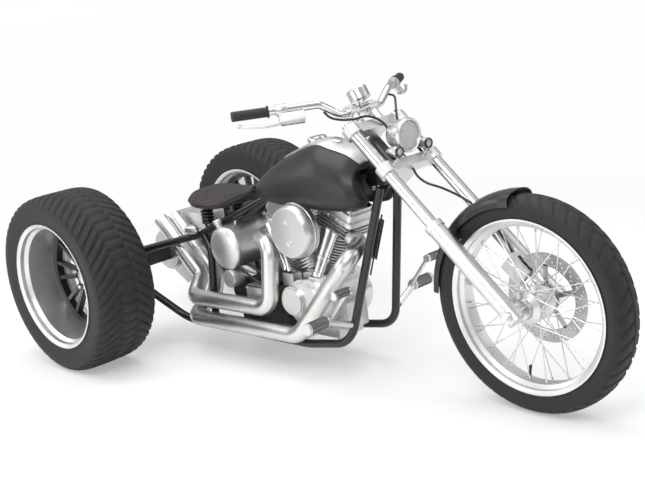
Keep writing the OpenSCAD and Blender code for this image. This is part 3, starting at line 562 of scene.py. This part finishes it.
# Rows from the tail to the neck: x at the top, half width, bottom, top, lean of the section
tank = {"rows": [(-0.318, 0.016, 0.622, 0.648, 0), (-0.290, 0.048, 0.608, 0.678, 0.02),
                 (-0.190, 0.100, 0.598, 0.738, 0.08),
                 (-0.060, 0.131, 0.594, 0.796, 0.2), (0.062, 0.146, 0.596, 0.836, 0.36),
                 (0.140, 0.145, 0.602, 0.822, 0.44),
                 (0.210, 0.133, 0.618, 0.802, 0.4), (0.262, 0.113, 0.642, 0.770, 0.3)],
        "steps": 12, "sides": 96, "stripHalf": 23, "stripHigh": 0.0046}


def splined(rows, steps):
    made = []
    for i in range(len(rows) - 1):
        a, b = Vector(rows[max(i - 1, 0)]), Vector(rows[i])
        c, d = Vector(rows[i + 1]), Vector(rows[min(i + 2, len(rows) - 1)])
        for k in range(steps):
            t = k / steps
            made.append((b * 2 + (c - a) * t + (a * 2 - b * 5 + c * 4 - d) * t * t
                         + (b * 3 - a - c * 3 + d) * t ** 3) / 2)
    return made + [Vector(rows[-1])]


def tankPoint(row, a, off=0.0):
    half, bottom, top = row[1], row[2], row[3]
    mid = bottom + 0.38 * (top - bottom)
    upper = abs(a) < 90
    e = 2.15 if upper else 2.9
    s, c = math.sin(math.radians(a)), math.cos(math.radians(a))
    y = (half + off) * math.copysign(abs(s) ** (2 / e), s)
    z = mid + (top - mid + off if upper else bottom - mid - off) * abs(c) ** (2 / e)
    return Vector((row[0] + row[4] * (top - z), y, z))


def rowsOf(rows, steps):
    padded = [Vector(row[:3]) for row in rows], [Vector((row[3], row[4], 0)) for row in rows]
    first, second = splined(padded[0], steps), splined(padded[1], steps)
    return [(*a, b[0], b[1]) for a, b in zip(first, second)]


tankRows = rowsOf(tank["rows"], tank["steps"])
rings = [[tankPoint(row,
                    180 - (k + 0.5) * 360 / tank["sides"]) for k in range(tank["sides"])] for row in tankRows]
tankShell = Piece("tank_shell").skin(rings).done("tank_black", "chassis", 60)
tankRooms = {"neck": ((0.312, 0, 0.653), (0.160, 0.124, 0.186)),
             "backbone": ((0.02, 0, 0.605), (0.50, 0.146, 0.08))}
for centre, span in tankRooms.values():
    cut = Piece("tank_cut").block(centre, span, 0).done("tank_black", None)
    carve = tankShell.modifiers.new("room", "BOOLEAN")
    carve.object = cut
    carve.operation = "DIFFERENCE"
    carve.solver = "MANIFOLD"
    bpy.context.view_layer.objects.active = tankShell
    bpy.ops.object.modifier_apply(modifier="room")
    bpy.data.objects.remove(cut)
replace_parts(tankShell, "fuel_tank")

# Brushed strip along the top, with a cap and a dial
stripRows = [row for row in tankRows if row[0] > -0.11]
strip = Piece("tank_strip")
stripRings = []
for row in stripRows:
    outer = [tankPoint(row, a,
                       tank["stripHigh"]) for a in [tank["stripHalf"] * (1 - 2 * k / 12) for k in range(13)]]
    inner = [tankPoint(row, a,
                       -0.002) for a in [tank["stripHalf"] * (1 - 2 * k / 12) for k in range(12, -1, -1)]]
    stripRings.append(outer + inner)
strip = strip.skin(stripRings).done("brushed_alloy", "chassis", 30)
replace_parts(strip, "tank_dash")
fittings = Piece("tank_fittings")
capRow = min(tankRows, key=lambda row: abs(row[0] - 0.02))
capAt = tankPoint(capRow, 0, 0.004)
fittings.lathe([(0.0, -0.004), (0.034, -0.004), (0.036, 0.004), (0.033, 0.012), (0.024, 0.016), (0, 0.0175)],
               capAt, (-0.16, 0, 1), 64)
dialRow = min(tankRows, key=lambda row: abs(row[0] - 0.125))
dialAt = tankPoint(dialRow, 0, 0.003)
fittings.lathe([(0.0, -0.004), (0.02, -0.004), (0.02, 0.007), (0.0165, 0.009), (0, 0.008)], dialAt,
               (0.35, 0, 1), 48)
fittings.done("chrome_parts", "chassis")

print("tubes")


# Round tube along a route whose corners are rounded
def arcPoints(a, b, c, radius, steps):
    a, b, c = Vector(a), Vector(b), Vector(c)
    u, v = (a - b).normalized(), (c - b).normalized()
    angle = u.angle(v)
    if angle > math.radians(179):
        return [b]
    reach = radius / math.tan(angle / 2)
    centre = b + (u + v).normalized() * radius / math.sin(angle / 2)
    start, end = b + u * reach - centre, b + v * reach - centre
    turn = math.pi - angle
    return [centre + (start * math.sin((1 - k / steps) * turn)
                      + end * math.sin(k / steps * turn)) / math.sin(turn)
            for k in range(steps + 1)]


def routed(points, radii, steps=12):
    made = [Vector(points[0])]
    for i in range(1, len(points) - 1):
        made += arcPoints(points[i - 1], points[i], points[i + 1], radii[i - 1], steps)
    return made + [Vector(points[-1])]


def flipped(points):
    return [Vector((p[0], -p[1], p[2])) for p in points]


pipes = {
    "radius": 0.0315, "cover": 0.0285,
    "rear": [(-0.2001, -0.030, 0.5014), (-0.236, -0.040, 0.4865), (-0.222, -0.112, 0.480),
             (-0.130, -0.152, 0.470),
             (-0.144, -0.176, 0.234), (-0.575, -0.190, 0.226), (-0.632, -0.100, 0.281)],
    "rearBends": [0.033, 0.036, 0.054, 0.062, 0.046, 0.050], "rearEnd": (-0.853, -0.100, 0.494),
    "front": [(0.1701, -0.036, 0.5014), (0.2163, -0.036, 0.4823), (0.250, -0.138, 0.456),
              (0.010, -0.190, 0.161),
              (-0.596, -0.190, 0.141), (-0.612, -0.060, 0.200), (-0.620, -0.034, 0.268)],
    "frontBends": [0.034, 0.058, 0.090, 0.044, 0.050, 0.050], "frontEnd": (-0.853, -0.034, 0.494),
}
for name in ("rear", "front"):
    points = pipes[name]
    last, end = Vector(points[-1]), Vector(pipes[name + "End"])
    start = last.lerp(end, 0.36)
    line = routed(points + [last.lerp(end, 0.4)], pipes[name + "Bends"], 14)
    pipe = Piece("exhaust_pipe_" + name).tube(line, pipes["radius"], 32)
    along = (end - start).normalized()
    length = (end - start).length
    r = pipes["cover"]
    pipe.lathe([(0.0255, -0.012), (r - 0.001, -0.004), (r, 0.002), (r, length - 0.003), (r - 0.001, length),
                (r - 0.003, length),
                (r - 0.0035, length - 0.01), (r - 0.005, length - 0.06), (0.012, length - 0.065),
                (0, length - 0.065)], start, along, 56)
    pipe = pipe.done("exhaust_metal", "chassis", 35)
    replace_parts(pipe, "exhaust_" + name)

rake = math.radians(47.1)
legDir = Vector((-math.sin(rake), 0, math.cos(rake)))
legSide = Vector((math.cos(rake), 0, math.sin(rake)))


def forkAt(s, n, y):
    return wheelCentres["front"] + legDir * (s * mm) + legSide * (n * mm) + Vector((0, y * mm, 0))


frameTubes = {
    "cradle": [(0.343, -0.044, 0.690), (0.196, -0.116, 0.138), (-0.020, -0.120, 0.1024),
               (-0.700, -0.140, 0.099),
               (-0.8925, -0.272, 0.301)],
    "cradleBends": [0.110, 0.300, 0.120],
    "rail": [(-0.132, -0.0495, 0.660), (-0.230, -0.052, 0.618), (-0.600, -0.098, 0.452),
             (-0.8845, -0.188, 0.3822)],
    "railBends": [0.120, 0.060],
    "post": [(-0.578, -0.098, 0.450), (-0.540, -0.104, 0.400), (-0.532, -0.135, 0.1154)],
    "postBends": [0.070], "radius": 0.015,
}
for side in ("right", "left"):
    flip = flipped if side == "left" else list
    cradle = Piece("cradle_tube_" + side).tube(flip(routed(frameTubes["cradle"], frameTubes["cradleBends"])),
                                               frameTubes["radius"], 24)
    cradle = cradle.done("frame_black", "chassis")
    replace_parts(cradle, "frame_cradle_" + side)
    rail = Piece("rail_tube_" + side).tube(flip(routed(frameTubes["rail"], frameTubes["railBends"])),
                                           frameTubes["radius"], 24)
    rail.tube(flip(routed(frameTubes["post"], frameTubes["postBends"])), frameTubes["radius"], 24)
    rail = rail.done("frame_black", "chassis")
    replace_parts(rail, "frame_rail_" + side)

barCentre = forkAt(879, -7, 0)
barTubes = [barCentre + Vector((0, 0, 0)), barCentre + Vector((0, -0.098, 0.002)),
            Vector((0.228, -0.168, 0.988)), Vector((0.071, -0.407, 0.988))]
bar = Piece("bar_tube")
for flip in (list, flipped):
    bar.tube(flip(routed(barTubes, [0.040, 0.034])), 0.0127, 28)
bar = bar.done("chrome_parts", "fork")
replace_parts(bar, "handlebar")

# Oil tank: a drum with domed ends, a filler and a canister under it
oil = {"at": (-0.406, 0, 0.426), "radius": 0.083, "half": 0.136, "dome": 0.028}
drum = []
for sign in (-1, 1):
    dome = []
    for k in range(11):
        a = math.pi / 2 * k / 10
        dome.append((oil["radius"] * math.sin(a), sign * (oil["half"] + oil["dome"] * math.cos(a))))
    drum += dome + [(oil["radius"] + 0.0006, sign * (oil["half"] - 0.002)),
                    (oil["radius"] + 0.0006, sign * (oil["half"] - 0.007)),
                    (oil["radius"], sign * (oil["half"] - 0.009))] if sign < 0 else list(reversed(
        dome + [(oil["radius"] + 0.0006, oil["half"] - 0.002), (oil["radius"] + 0.0006, oil["half"] - 0.007),
                (oil["radius"], oil["half"] - 0.009)]))
oilTank = Piece("oil_drum").lathe(drum, oil["at"], (0, 1, 0), 96)
oilTank.rod((-0.436, -0.124, 0.490), (-0.4435, -0.1285, 0.522), 0.0135, 32)
oilTank.lathe([(0.0165, 0), (0.0175, 0.002), (0.0175, 0.012), (0.015, 0.015), (0, 0.0155)],
              (-0.4428, -0.128, 0.519), (-0.22, -0.13, 0.95), 40)
oilTank.lathe([(0, -0.0005), (0.033, 0), (0.035, 0.003), (0.035, 0.050), (0.033, 0.0535), (0.012, 0.054),
               (0, 0.054)], (-0.392, -0.100, 0.310), (0, -1, 0), 56)
oilTank.rod((-0.400, -0.124, 0.330), (-0.404, -0.124, 0.352), 0.012, 24)
for side in (-1, 1):
    oilTank.rod((-0.406, side * 0.074, 0.500), (-0.406, side * 0.074, 0.520), 0.005, 16)
oilTank = oilTank.done("brushed_alloy", "chassis", 30)
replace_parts(oilTank, "oil_tank")

print("front end details")


# Steps a point along the bar end of one side, towards its tip
def barMatrix(side, distance, turn=35):
    v = (barTubes[3] - barTubes[2]).normalized()
    at = barTubes[3] - v * (distance * mm)
    x = Vector((0, 0, -1))
    matrix = Matrix((x, v.cross(x), v)).transposed().to_4x4()
    matrix = Matrix.Translation(at) @ matrix @ Matrix.Rotation(math.radians(turn), 4, "Z")
    return Matrix.Diagonal((1, -1, 1, 1)) @ matrix if side > 0 else matrix


grips = Piece("ribbed_grips")
for side in (-1, 1):
    m = barMatrix(side, 118)
    profile = [(0.0130, 0), (0.0205, 0), (0.0205, 0.004), (0.0170, 0.005)]
    for k in range(14):
        z = 0.007 + k * 0.0079
        profile += [(0.0168, z), (0.0150, z + 0.0006), (0.0150, z + 0.0022), (0.0168, z + 0.0028)]
    profile += [(0.0165, 0.1195), (0.014, 0.122), (0, 0.1222)]
    grips.lathe(profile, m @ Vector((0, 0, 0)), (m @ Vector((0, 0, 1))) - m.translation, 40)
grips = grips.done("grip_rubber", "fork", 50)
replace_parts(grips, "grips")

for side, name in ((-1, "right"), (1, "left")):
    m = barMatrix(side, 0)
    lever = Piece("lever_" + name)
    line = [Vector((44, 0, -164)), Vector((47, 0, -140)), Vector((50, 0, -110)), Vector((49, 0, -70)),
            Vector((44, 0, -38)), Vector((38, 0, -16))]
    line = [m @ (p * mm) for p in splined(line, 5)]
    widths = [0.0068 - 0.0024 * k / (len(line) - 1) for k in range(len(line))]
    lever.tube(line, widths, 18)
    lever.ball(m @ (Vector((37.6, 0, -14.5)) * mm), 0.0066)
    m2 = barMatrix(side, 176)
    z = (m2 @ Vector((0, 0, 1))) - m2.translation
    lever.lathe([(0.0129, 0), (0.0190, 0), (0.0197, 0.001), (0.0197, 0.033), (0.0190, 0.034),
                 (0.0129, 0.034)], m2.translation, z, 40, closed=True)
    lever.block((0.029, 0, 0.017), (0.036, 0.020, 0.024), 0.004, m2)
    lever.done("polished_alloy", "fork")
    pivot = Piece("lever_pivot_" + name)
    pivot.bolt(m2 @ Vector((0.040, -0.0101, 0.017)), (m2 @ Vector((0, -1, 0))) - m2.translation, 0.005, 0.004)
    pivot.bolt(m2 @ Vector((0.022, -0.0101, 0.024)), (m2 @ Vector((0, -1, 0))) - m2.translation, 0.0032,
               0.003)
    pivot.done("chrome_parts", "fork")
    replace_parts(bpy.data.objects["lever_" + name], "hand_control_" + name)
m = barMatrix(-1, 232)
Piece("brake_reservoir").block((0.0332, 0, 0.040), (0.032, 0.030, 0.078), 0.005, m).done("pale_box", "fork")
Piece("reservoir_lid").block((0.0332, -0.0158, 0.040), (0.033, 0.003, 0.079), 0.0012, m).done("stripe_dark",
                                                                                              "fork")
lidScrews = Piece("reservoir_screws")
for z in (0.01, 0.07):
    lidScrews.bolt(m @ Vector((0.0332, -0.017, z)), (m @ Vector((0, -1, 0))) - m.translation, 0.003, 0.002)
lidScrews.done("chrome_parts", "fork")

# Headlight: bowl, bezel with three screws, reflector and lens
low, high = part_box("headlight")
lampAt = Vector((high.x - 0.004, 0, 0.862))
shell = Piece("headlight_shell")
shell.lathe([(0.0, 0.0895), (0.012, 0.0885), (0.025, 0.0815), (0.041, 0.0655), (0.051, 0.0395),
             (0.0535, 0.0175), (0.0535, 0.0155),
             (0.0562, 0.0155), (0.057, 0.013), (0.057, 0.003), (0.0555, -0.0015), (0.0525, -0.0035),
             (0.049, -0.0025), (0.0465, 0.002), (0.0462, 0.006)],
            lampAt, (-1, 0, 0), 96)
shell.rod(forkAt(635.4, 0, 0), forkAt(677, 0, 0), 0.009, 24)
shell = shell.done("polished_alloy", "fork", 32)
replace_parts(shell, "headlight")
reflector = Piece("headlight_reflector")
reflector.lathe([(0.0462, 0.006), (0.036, 0.022), (0.018, 0.036), (0.006, 0.04), (0, 0.04)], lampAt,
                (-1, 0, 0), 64).done("chrome_parts", "fork")
glass = Piece("headlight_lens")
glass.lathe([(0.0462, 0.003), (0.036, -0.0005), (0.02, -0.0028), (0, -0.0036)], lampAt, (-1, 0, 0), 64)
glass.lathe([(0.0462, 0.0055), (0.036, 0.002), (0.02, -0.0003), (0, -0.0011)], lampAt, (-1, 0, 0),
            64).done("lens_clear", "fork")
bezelScrews = Piece("headlight_screws")
for k in range(3):
    a = 2 * math.pi * k / 3 + math.pi / 2
    bezelScrews.bolt(lampAt + Vector((0.0015, 0.0515 * math.cos(a), 0.0515 * math.sin(a))), (1, 0, 0), 0.0028,
                     0.003)
bezelScrews.done("chrome_parts", "fork")

# Bullet lamps at the front, one each side
bullets = Piece("bullet_shells")
bulletLenses = Piece("bullet_lenses")
bulletRings = Piece("bullet_rings")
low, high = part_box("turn_signals")
for side in (-1, 1):
    at = Vector((high.x - 0.002, side * 0.072, 0.822))
    bullets.lathe([(0.0176, 0.006), (0.018, 0.009), (0.0174, 0.026), (0.0135, 0.043), (0.0075, 0.055),
                   (0.002, 0.0596), (0, 0.06)], at, (-1, 0, 0), 48)
    bullets.rod(forkAt(624, 18.3, side * 72), forkAt(624, 40, side * 72), 0.007, 20)
    bulletRings.lathe([(0.0135, -0.0018), (0.0168, -0.0018), (0.018, 0.001), (0.018, 0.0066),
                       (0.0135, 0.0066)], at, (-1, 0, 0), 48, closed=True)
    bulletLenses.lathe([(0.0136, 0.0015), (0.011, -0.0008), (0.006, -0.0024), (0, -0.0028)], at, (-1, 0, 0),
                       40)
bullets = bullets.done("polished_alloy", "fork")
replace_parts(bullets, "turn_signals")
bulletLenses.done("lens_clear", "fork")
bulletRings.done("wheel_black", "fork")

# Face of the gauge behind its glass
gaugeAxis = Vector((-math.sin(math.radians(28)), 0, math.cos(math.radians(28))))
gaugeAt = barCentre + Vector((0.008, 0, 0.034))
Piece("gauge_dial").lathe([(0.0325, 0.0392), (0.0, 0.0398)], gaugeAt, gaugeAxis, 48).done("dark_glass",
                                                                                          "fork")

# Engine dressing: plug leads, the stop spring, gearbox cover, gusset bolts and the oil lines
leads = Piece("plug_leads")
for sign in (-1, 1):
    turn = Matrix.Translation((-0.015, 0, 0.25)) @ Matrix.Rotation(math.radians(22.5 * sign), 4, "Y")
    plug = turn @ Vector((0.03 * sign, 0.066, 0.318))
    leads.rod(plug, plug + Vector((0, 0.03, 0.006)), 0.009, 18)
    line = splined([plug + Vector((0, 0.028, 0.006)), plug + Vector((0.0, 0.052, -0.01)),
                    Vector((-0.015 + sign * 0.05, 0.1, 0.47)),
                    Vector((-0.04, 0.085, 0.42))], 8)
    leads.tube(line, 0.0036, 10)
leads.done("cable_black", "chassis")
coil = Piece("stop_spring")
spring = {"from": (0.318, -0.030, 0.575), "to": (0.268, -0.034, 0.435), "turns": 26, "radius": 0.0105,
          "wire": 0.0022}
springFrom, springTo = Vector(spring["from"]), Vector(spring["to"])
springFrame = framed(springFrom, springTo - springFrom)
springLine = []
for k in range(spring["turns"] * 12 + 1):
    a = 2 * math.pi * k / 12
    springLine.append(springFrame @ Vector((spring["radius"] * math.cos(a), spring["radius"] * math.sin(a),
                                            (springTo - springFrom).length * k / (spring["turns"] * 12))))
coil.tube(springLine, spring["wire"], 8)
coil.rod(springFrom + (springFrom - springTo) * 0.12, springTo + (springTo - springFrom) * 0.45, 0.003, 12)
coil.done("gearbox_black", "chassis")
gearCover = Piece("gearbox_cover").block((-0.282, -0.1065, 0.260), (0.0966, 0.0436, 0.0566), 0.005)
for x, z in ((-0.322, 0.24), (-0.242, 0.24), (-0.322, 0.28), (-0.242, 0.28)):
    gearCover.bolt((x, -0.1282, z), (0, -1, 0), 0.0034, 0.004)
gearCover.done("cast_alloy", "chassis")
gussetBolts = Piece("gusset_bolts")
for x, z in ((0.281, 0.677), (0.302, 0.680)):
    gussetBolts.bolt((x, -0.0105, z), (0, -1, 0), 0.0072, 0.009)
gussetBolts.done("chrome_parts", "chassis")
oilLines = Piece("oil_lines")
oilLines.tube(splined([Vector((-0.398, -0.118, 0.352)), Vector((-0.36, -0.12, 0.345)),
                       Vector((-0.29, -0.11, 0.31)), Vector((-0.2, -0.1, 0.26))], 8), 0.0055, 12)
oilLines.tube(splined([Vector((-0.384, -0.1, 0.352)), Vector((-0.33, -0.1, 0.36)),
                       Vector((-0.25, -0.098, 0.33)), Vector((-0.17, -0.095, 0.3))], 8), 0.0055, 12)
oilLines.done("cable_black", "chassis")

# Rubber and end caps of the pegs
pegs = Piece("peg_rubbers")
pegEnds = Piece("peg_ends")
for side in (-1, 1):
    for at, radius, start, length in [((0.200, 0.255), 0.0208, 0.232, 0.078),
                                      ((0.300, 0.372), 0.0148, 0.21, 0.060)]:
        profile = [(radius - 0.003, 0)]
        count = int(length / 0.0065)
        for k in range(count):
            z = k * length / count
            profile += [(radius, z + 0.0008), (radius, z + 0.0042), (radius - 0.0025, z + 0.005)]
        profile += [(radius - 0.003, length)]
        pegs.lathe(profile, (at[0], side * start, at[1]), (0, side, 0), 36)
        low = start + length
        pegEnds.lathe([(radius, low - 0.001), (radius + 0.0008, low + 0.002), (radius + 0.0008, low + 0.007),
                       (radius - 0.004, low + 0.01), (0, low + 0.011)],
                      (at[0], 0, at[1]), (0, side, 0), 36)
pegs.done("grip_rubber", "chassis")
pegEnds.done("polished_alloy", "chassis")

print("seat")
# A leather shell is blown up by pressure with its underside held, then kept near its own starting shape
seatValues = {"rows": [(0, 0.44, 0.578, 0.620, 0.002), (0.05, 0.70, 0.566, 0.624, 0),
                       (0.18, 0.95, 0.558, 0.622, -0.008),
                       (0.4, 1, 0.556, 0.616, -0.010), (0.62, 0.84, 0.562, 0.616, -0.006),
                       (0.84, 0.5, 0.590, 0.640, 0),
                       (1, 0.36, 0.612, 0.654, 0.002)],
              "rear": -0.656, "length": 0.335, "width": 0.290, "inset": 0.004, "voxel": 0.005,
              "pressure": 4.0, "frames": 20, "cap": 0.007}


def seatRings(inset, steps=8, sides=64):
    rings = []
    for row in rowsOf(seatValues["rows"], steps):
        half = max(row[1] * seatValues["width"] / 2 - inset, 0.01)
        mid, h = (row[2] + row[3]) / 2, (row[3] - row[2]) / 2 - inset
        ring = []
        for k in range(sides):
            a = math.radians(90 + (k + 0.5) * 360 / sides)
            y = half * math.copysign(abs(math.cos(a)) ** 0.55, math.cos(a))
            crown = row[4] * (1 - (y / half) ** 2) if math.sin(a) > 0 else 0
            x = seatValues["rear"] + inset + row[0] * (seatValues["length"] - 2 * inset)
            ring.append(Vector((x, y, mid + h * math.copysign(abs(math.sin(a)) ** 0.6, math.sin(a)) + crown)))
        rings.append(ring)
    return rings


cushion = Piece("seat_cover").skin(seatRings(seatValues["inset"])).done("seat_leather", None)
bpy.context.view_layer.objects.active = cushion
cushion.select_set(True)
remesh = cushion.modifiers.new("even", "REMESH")
remesh.mode = "VOXEL"
remesh.voxel_size = seatValues["voxel"]
bpy.ops.object.modifier_apply(modifier="even")
before = [v.co.copy() for v in cushion.data.vertices]
held = cushion.vertex_groups.new(name="held")
held.add([v.index for v in cushion.data.vertices if v.co.z < 0.58], 1.0, "REPLACE")
cloth = cushion.modifiers.new("blown", "CLOTH")
cloth.settings.quality = 5
cloth.settings.mass = 0.4
cloth.settings.use_pressure = True
cloth.settings.uniform_pressure_force = seatValues["pressure"]
cloth.settings.effector_weights.gravity = 0
cloth.settings.tension_stiffness = 40
cloth.settings.compression_stiffness = 40
cloth.settings.bending_stiffness = 4
cloth.settings.vertex_group_mass = "held"
cloth.point_cache.frame_start = 1
cloth.point_cache.frame_end = seatValues["frames"]
for number in range(1, seatValues["frames"] + 1):
    bpy.context.scene.frame_set(number)
bpy.ops.object.modifier_apply(modifier="blown")
bpy.context.scene.frame_set(1)
for v, old in zip(cushion.data.vertices, before):
    move = v.co - old
    if move.length > seatValues["cap"]:
        v.co = old + move.normalized() * seatValues["cap"]
smooth = cushion.modifiers.new("soft", "CORRECTIVE_SMOOTH")
smooth.iterations = 3
smooth.use_only_smooth = True
bpy.ops.object.modifier_apply(modifier="soft")
for face in cushion.data.polygons:
    face.use_smooth = True
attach(cushion, "chassis")
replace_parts(cushion, "seat")

# Piping round the rim and a stitched seam inside it
outline = []
rowsFine = rowsOf(seatValues["rows"], 8)
for side in (1, -1):
    part = []
    for row in rowsFine:
        edge = Vector((seatValues["rear"] + row[0] * seatValues["length"],
                       side * row[1] * seatValues["width"] / 2, (row[2] * 0.45 + row[3] * 0.55)))
        at, normal = cushion.closest_point_on_mesh(edge)[1:3]
        part.append(at + normal * 0.0012)
    outline += part if side > 0 else list(reversed(part))
piping = Piece("seat_piping")
piping.tube(outline + [outline[0]], 0.0038, 10)
piping.done("seat_leather", "chassis")
stitches = Piece("seat_stitches")
centre = Vector((-0.49, 0, 0))
for inset in (0.022, 0.027):
    path = []
    for p in outline:
        inward = (Vector((centre.x, 0, 0)) - Vector((p.x, p.y, 0))).normalized()
        path.append(Vector((p.x, p.y, 0)) + inward * inset)
    path.append(path[0])
    lengths = [0.0]
    for a, b in zip(path, path[1:]):
        lengths.append(lengths[-1] + (b - a).length)
    at = 0.0
    i = 0
    while at < lengths[-1] - 0.005:
        while lengths[i + 1] < at:
            i += 1
        span = max(lengths[i + 1] - lengths[i], 1e-6)
        p = path[i].lerp(path[i + 1], (at - lengths[i]) / span)
        q = p + (path[i + 1] - path[i]).normalized() * 0.0036
        hitP = cushion.ray_cast(Vector((p.x, p.y, 0.75)), Vector((0, 0, -1)))
        hitQ = cushion.ray_cast(Vector((q.x, q.y, 0.75)), Vector((0, 0, -1)))
        if hitP[0] and hitQ[0]:
            stitches.rod(hitP[1] + hitP[2] * 0.0002, hitQ[1] + hitQ[2] * 0.0002, 0.0007, 6)
        at += 0.0058
stitches.done("thread", "chassis")

print("stage, light and camera")
floorMesh = bpy.data.meshes.new("floor")
floorMesh.from_pydata([(-40, -40, 0), (40, -40, 0), (40, 40, 0), (-40, 40, 0)], [], [(0, 1, 2, 3)])
floor = bpy.data.objects.new("floor", floorMesh)
bpy.context.scene.collection.objects.link(floor)
g = Graph("floor_white")
tone = g.mixColour(g.noise(0.8, 3.0), (0.93, 0.93, 0.93), (0.95, 0.95, 0.95))
matt = g.node("ShaderNodeBsdfPrincipled", {}, {"Base Color": tone, "Roughness": g.noise(2.0) * 0.1 + 0.75})
away = g.vectorMaths("LENGTH", g.place(), out=1)
bright = g.node("ShaderNodeEmission", {},
                {"Color": g.mixColour(g.noise(0.5), (0.98, 0.985, 0.97), (1, 1, 1)), "Strength": 1.0})
seenDirectly = g.node("ShaderNodeLightPath", {}, {}, "Is Camera Ray")
fade = g.ramp(away, 1.6, 3.4, 0.35, 1.0)
floorMesh.materials.append(g.close(g.node("ShaderNodeMixShader", {},
                                          {0: fade * seenDirectly, 1: matt, 2: bright})))

world = bpy.data.worlds.new("studio")
bpy.context.scene.world = world
world.use_nodes = True
tree = world.node_tree
tree.nodes.clear()
rays = tree.nodes.new("ShaderNodeLightPath")
coords = tree.nodes.new("ShaderNodeTexCoord")
split = tree.nodes.new("ShaderNodeSeparateXYZ")
tree.links.new(coords.outputs["Generated"], split.inputs[0])
ramp = tree.nodes.new("ShaderNodeValToRGB")
tree.links.new(split.outputs["Z"], ramp.inputs["Fac"])
studio = {"stops": [(0.0, 0.6), (0.4, 0.5), (0.55, 0.6), (0.8, 1.0)], "strength": 0.78, "white": 1.0}
while len(ramp.color_ramp.elements) < len(studio["stops"]):
    ramp.color_ramp.elements.new(0.5)
for element, (position, value) in zip(ramp.color_ramp.elements, studio["stops"]):
    element.position = position
    element.color = (value, value, value, 1)
seen = tree.nodes.new("ShaderNodeBackground")
seen.inputs["Color"].default_value = (studio["white"], studio["white"], studio["white"], 1)
lit = tree.nodes.new("ShaderNodeBackground")
lit.inputs["Strength"].default_value = studio["strength"]
tree.links.new(ramp.outputs["Color"], lit.inputs["Color"])
choose = tree.nodes.new("ShaderNodeMixShader")
tree.links.new(rays.outputs["Is Camera Ray"], choose.inputs["Fac"])
tree.links.new(lit.outputs[0], choose.inputs[1])
tree.links.new(seen.outputs[0], choose.inputs[2])
out = tree.nodes.new("ShaderNodeOutputWorld")
tree.links.new(choose.outputs[0], out.inputs["Surface"])

lights = {
    "key": {"at": (1.6, -2.4, 3.2), "size": (2.2, 1.6), "power": 62},
    "fill": {"at": (3.2, 1.8, 2.2), "size": (2.0, 2.0), "power": 24},
    "top": {"at": (-0.4, 0.2, 3.6), "size": (3.4, 2.2), "power": 58},
    "back": {"at": (-2.6, -1.8, 2.0), "size": (1.2, 2.0), "power": 22},
    "side": {"at": (-0.6, -3.6, 1.1), "size": (2.6, 1.4), "power": 26},
}
for name, value in lights.items():
    data = bpy.data.lights.new(name, "AREA")
    data.shape = "RECTANGLE"
    data.size, data.size_y = value["size"]
    data.energy = value["power"]
    lightObj = bpy.data.objects.new(name, data)
    bpy.context.scene.collection.objects.link(lightObj)
    lightObj.location = value["at"]
    lightObj.rotation_euler = (Vector((0, 0, 0.4)) - Vector(value["at"])).to_track_quat("-Z", "Y").to_euler()

view = {"at": (2.874, -2.6966, 1.4618), "turn": 46.963, "down": 14.302, "roll": -6.868, "lens": 62.85}
a, e, r = (math.radians(view[key]) for key in ("turn", "down", "roll"))
forward = Vector((-math.sin(a) * math.cos(e), math.cos(a) * math.cos(e), -math.sin(e)))
right = Vector((math.cos(a), math.sin(a), 0))
up = right.cross(forward)
rightRolled = right * math.cos(r) + up * math.sin(r)
upRolled = up * math.cos(r) - right * math.sin(r)
camera = bpy.data.objects.new("camera", bpy.data.cameras.new("camera"))
bpy.context.scene.collection.objects.link(camera)
camera.data.lens = view["lens"]
camera.data.sensor_width = 36
camera.data.sensor_fit = "HORIZONTAL"
matrix = Matrix((rightRolled, upRolled, -forward)).transposed().to_4x4()
matrix.translation = Vector(view["at"])
camera.matrix_world = matrix
bpy.context.scene.camera = camera
bpy.context.scene.view_settings.view_transform = "Standard"
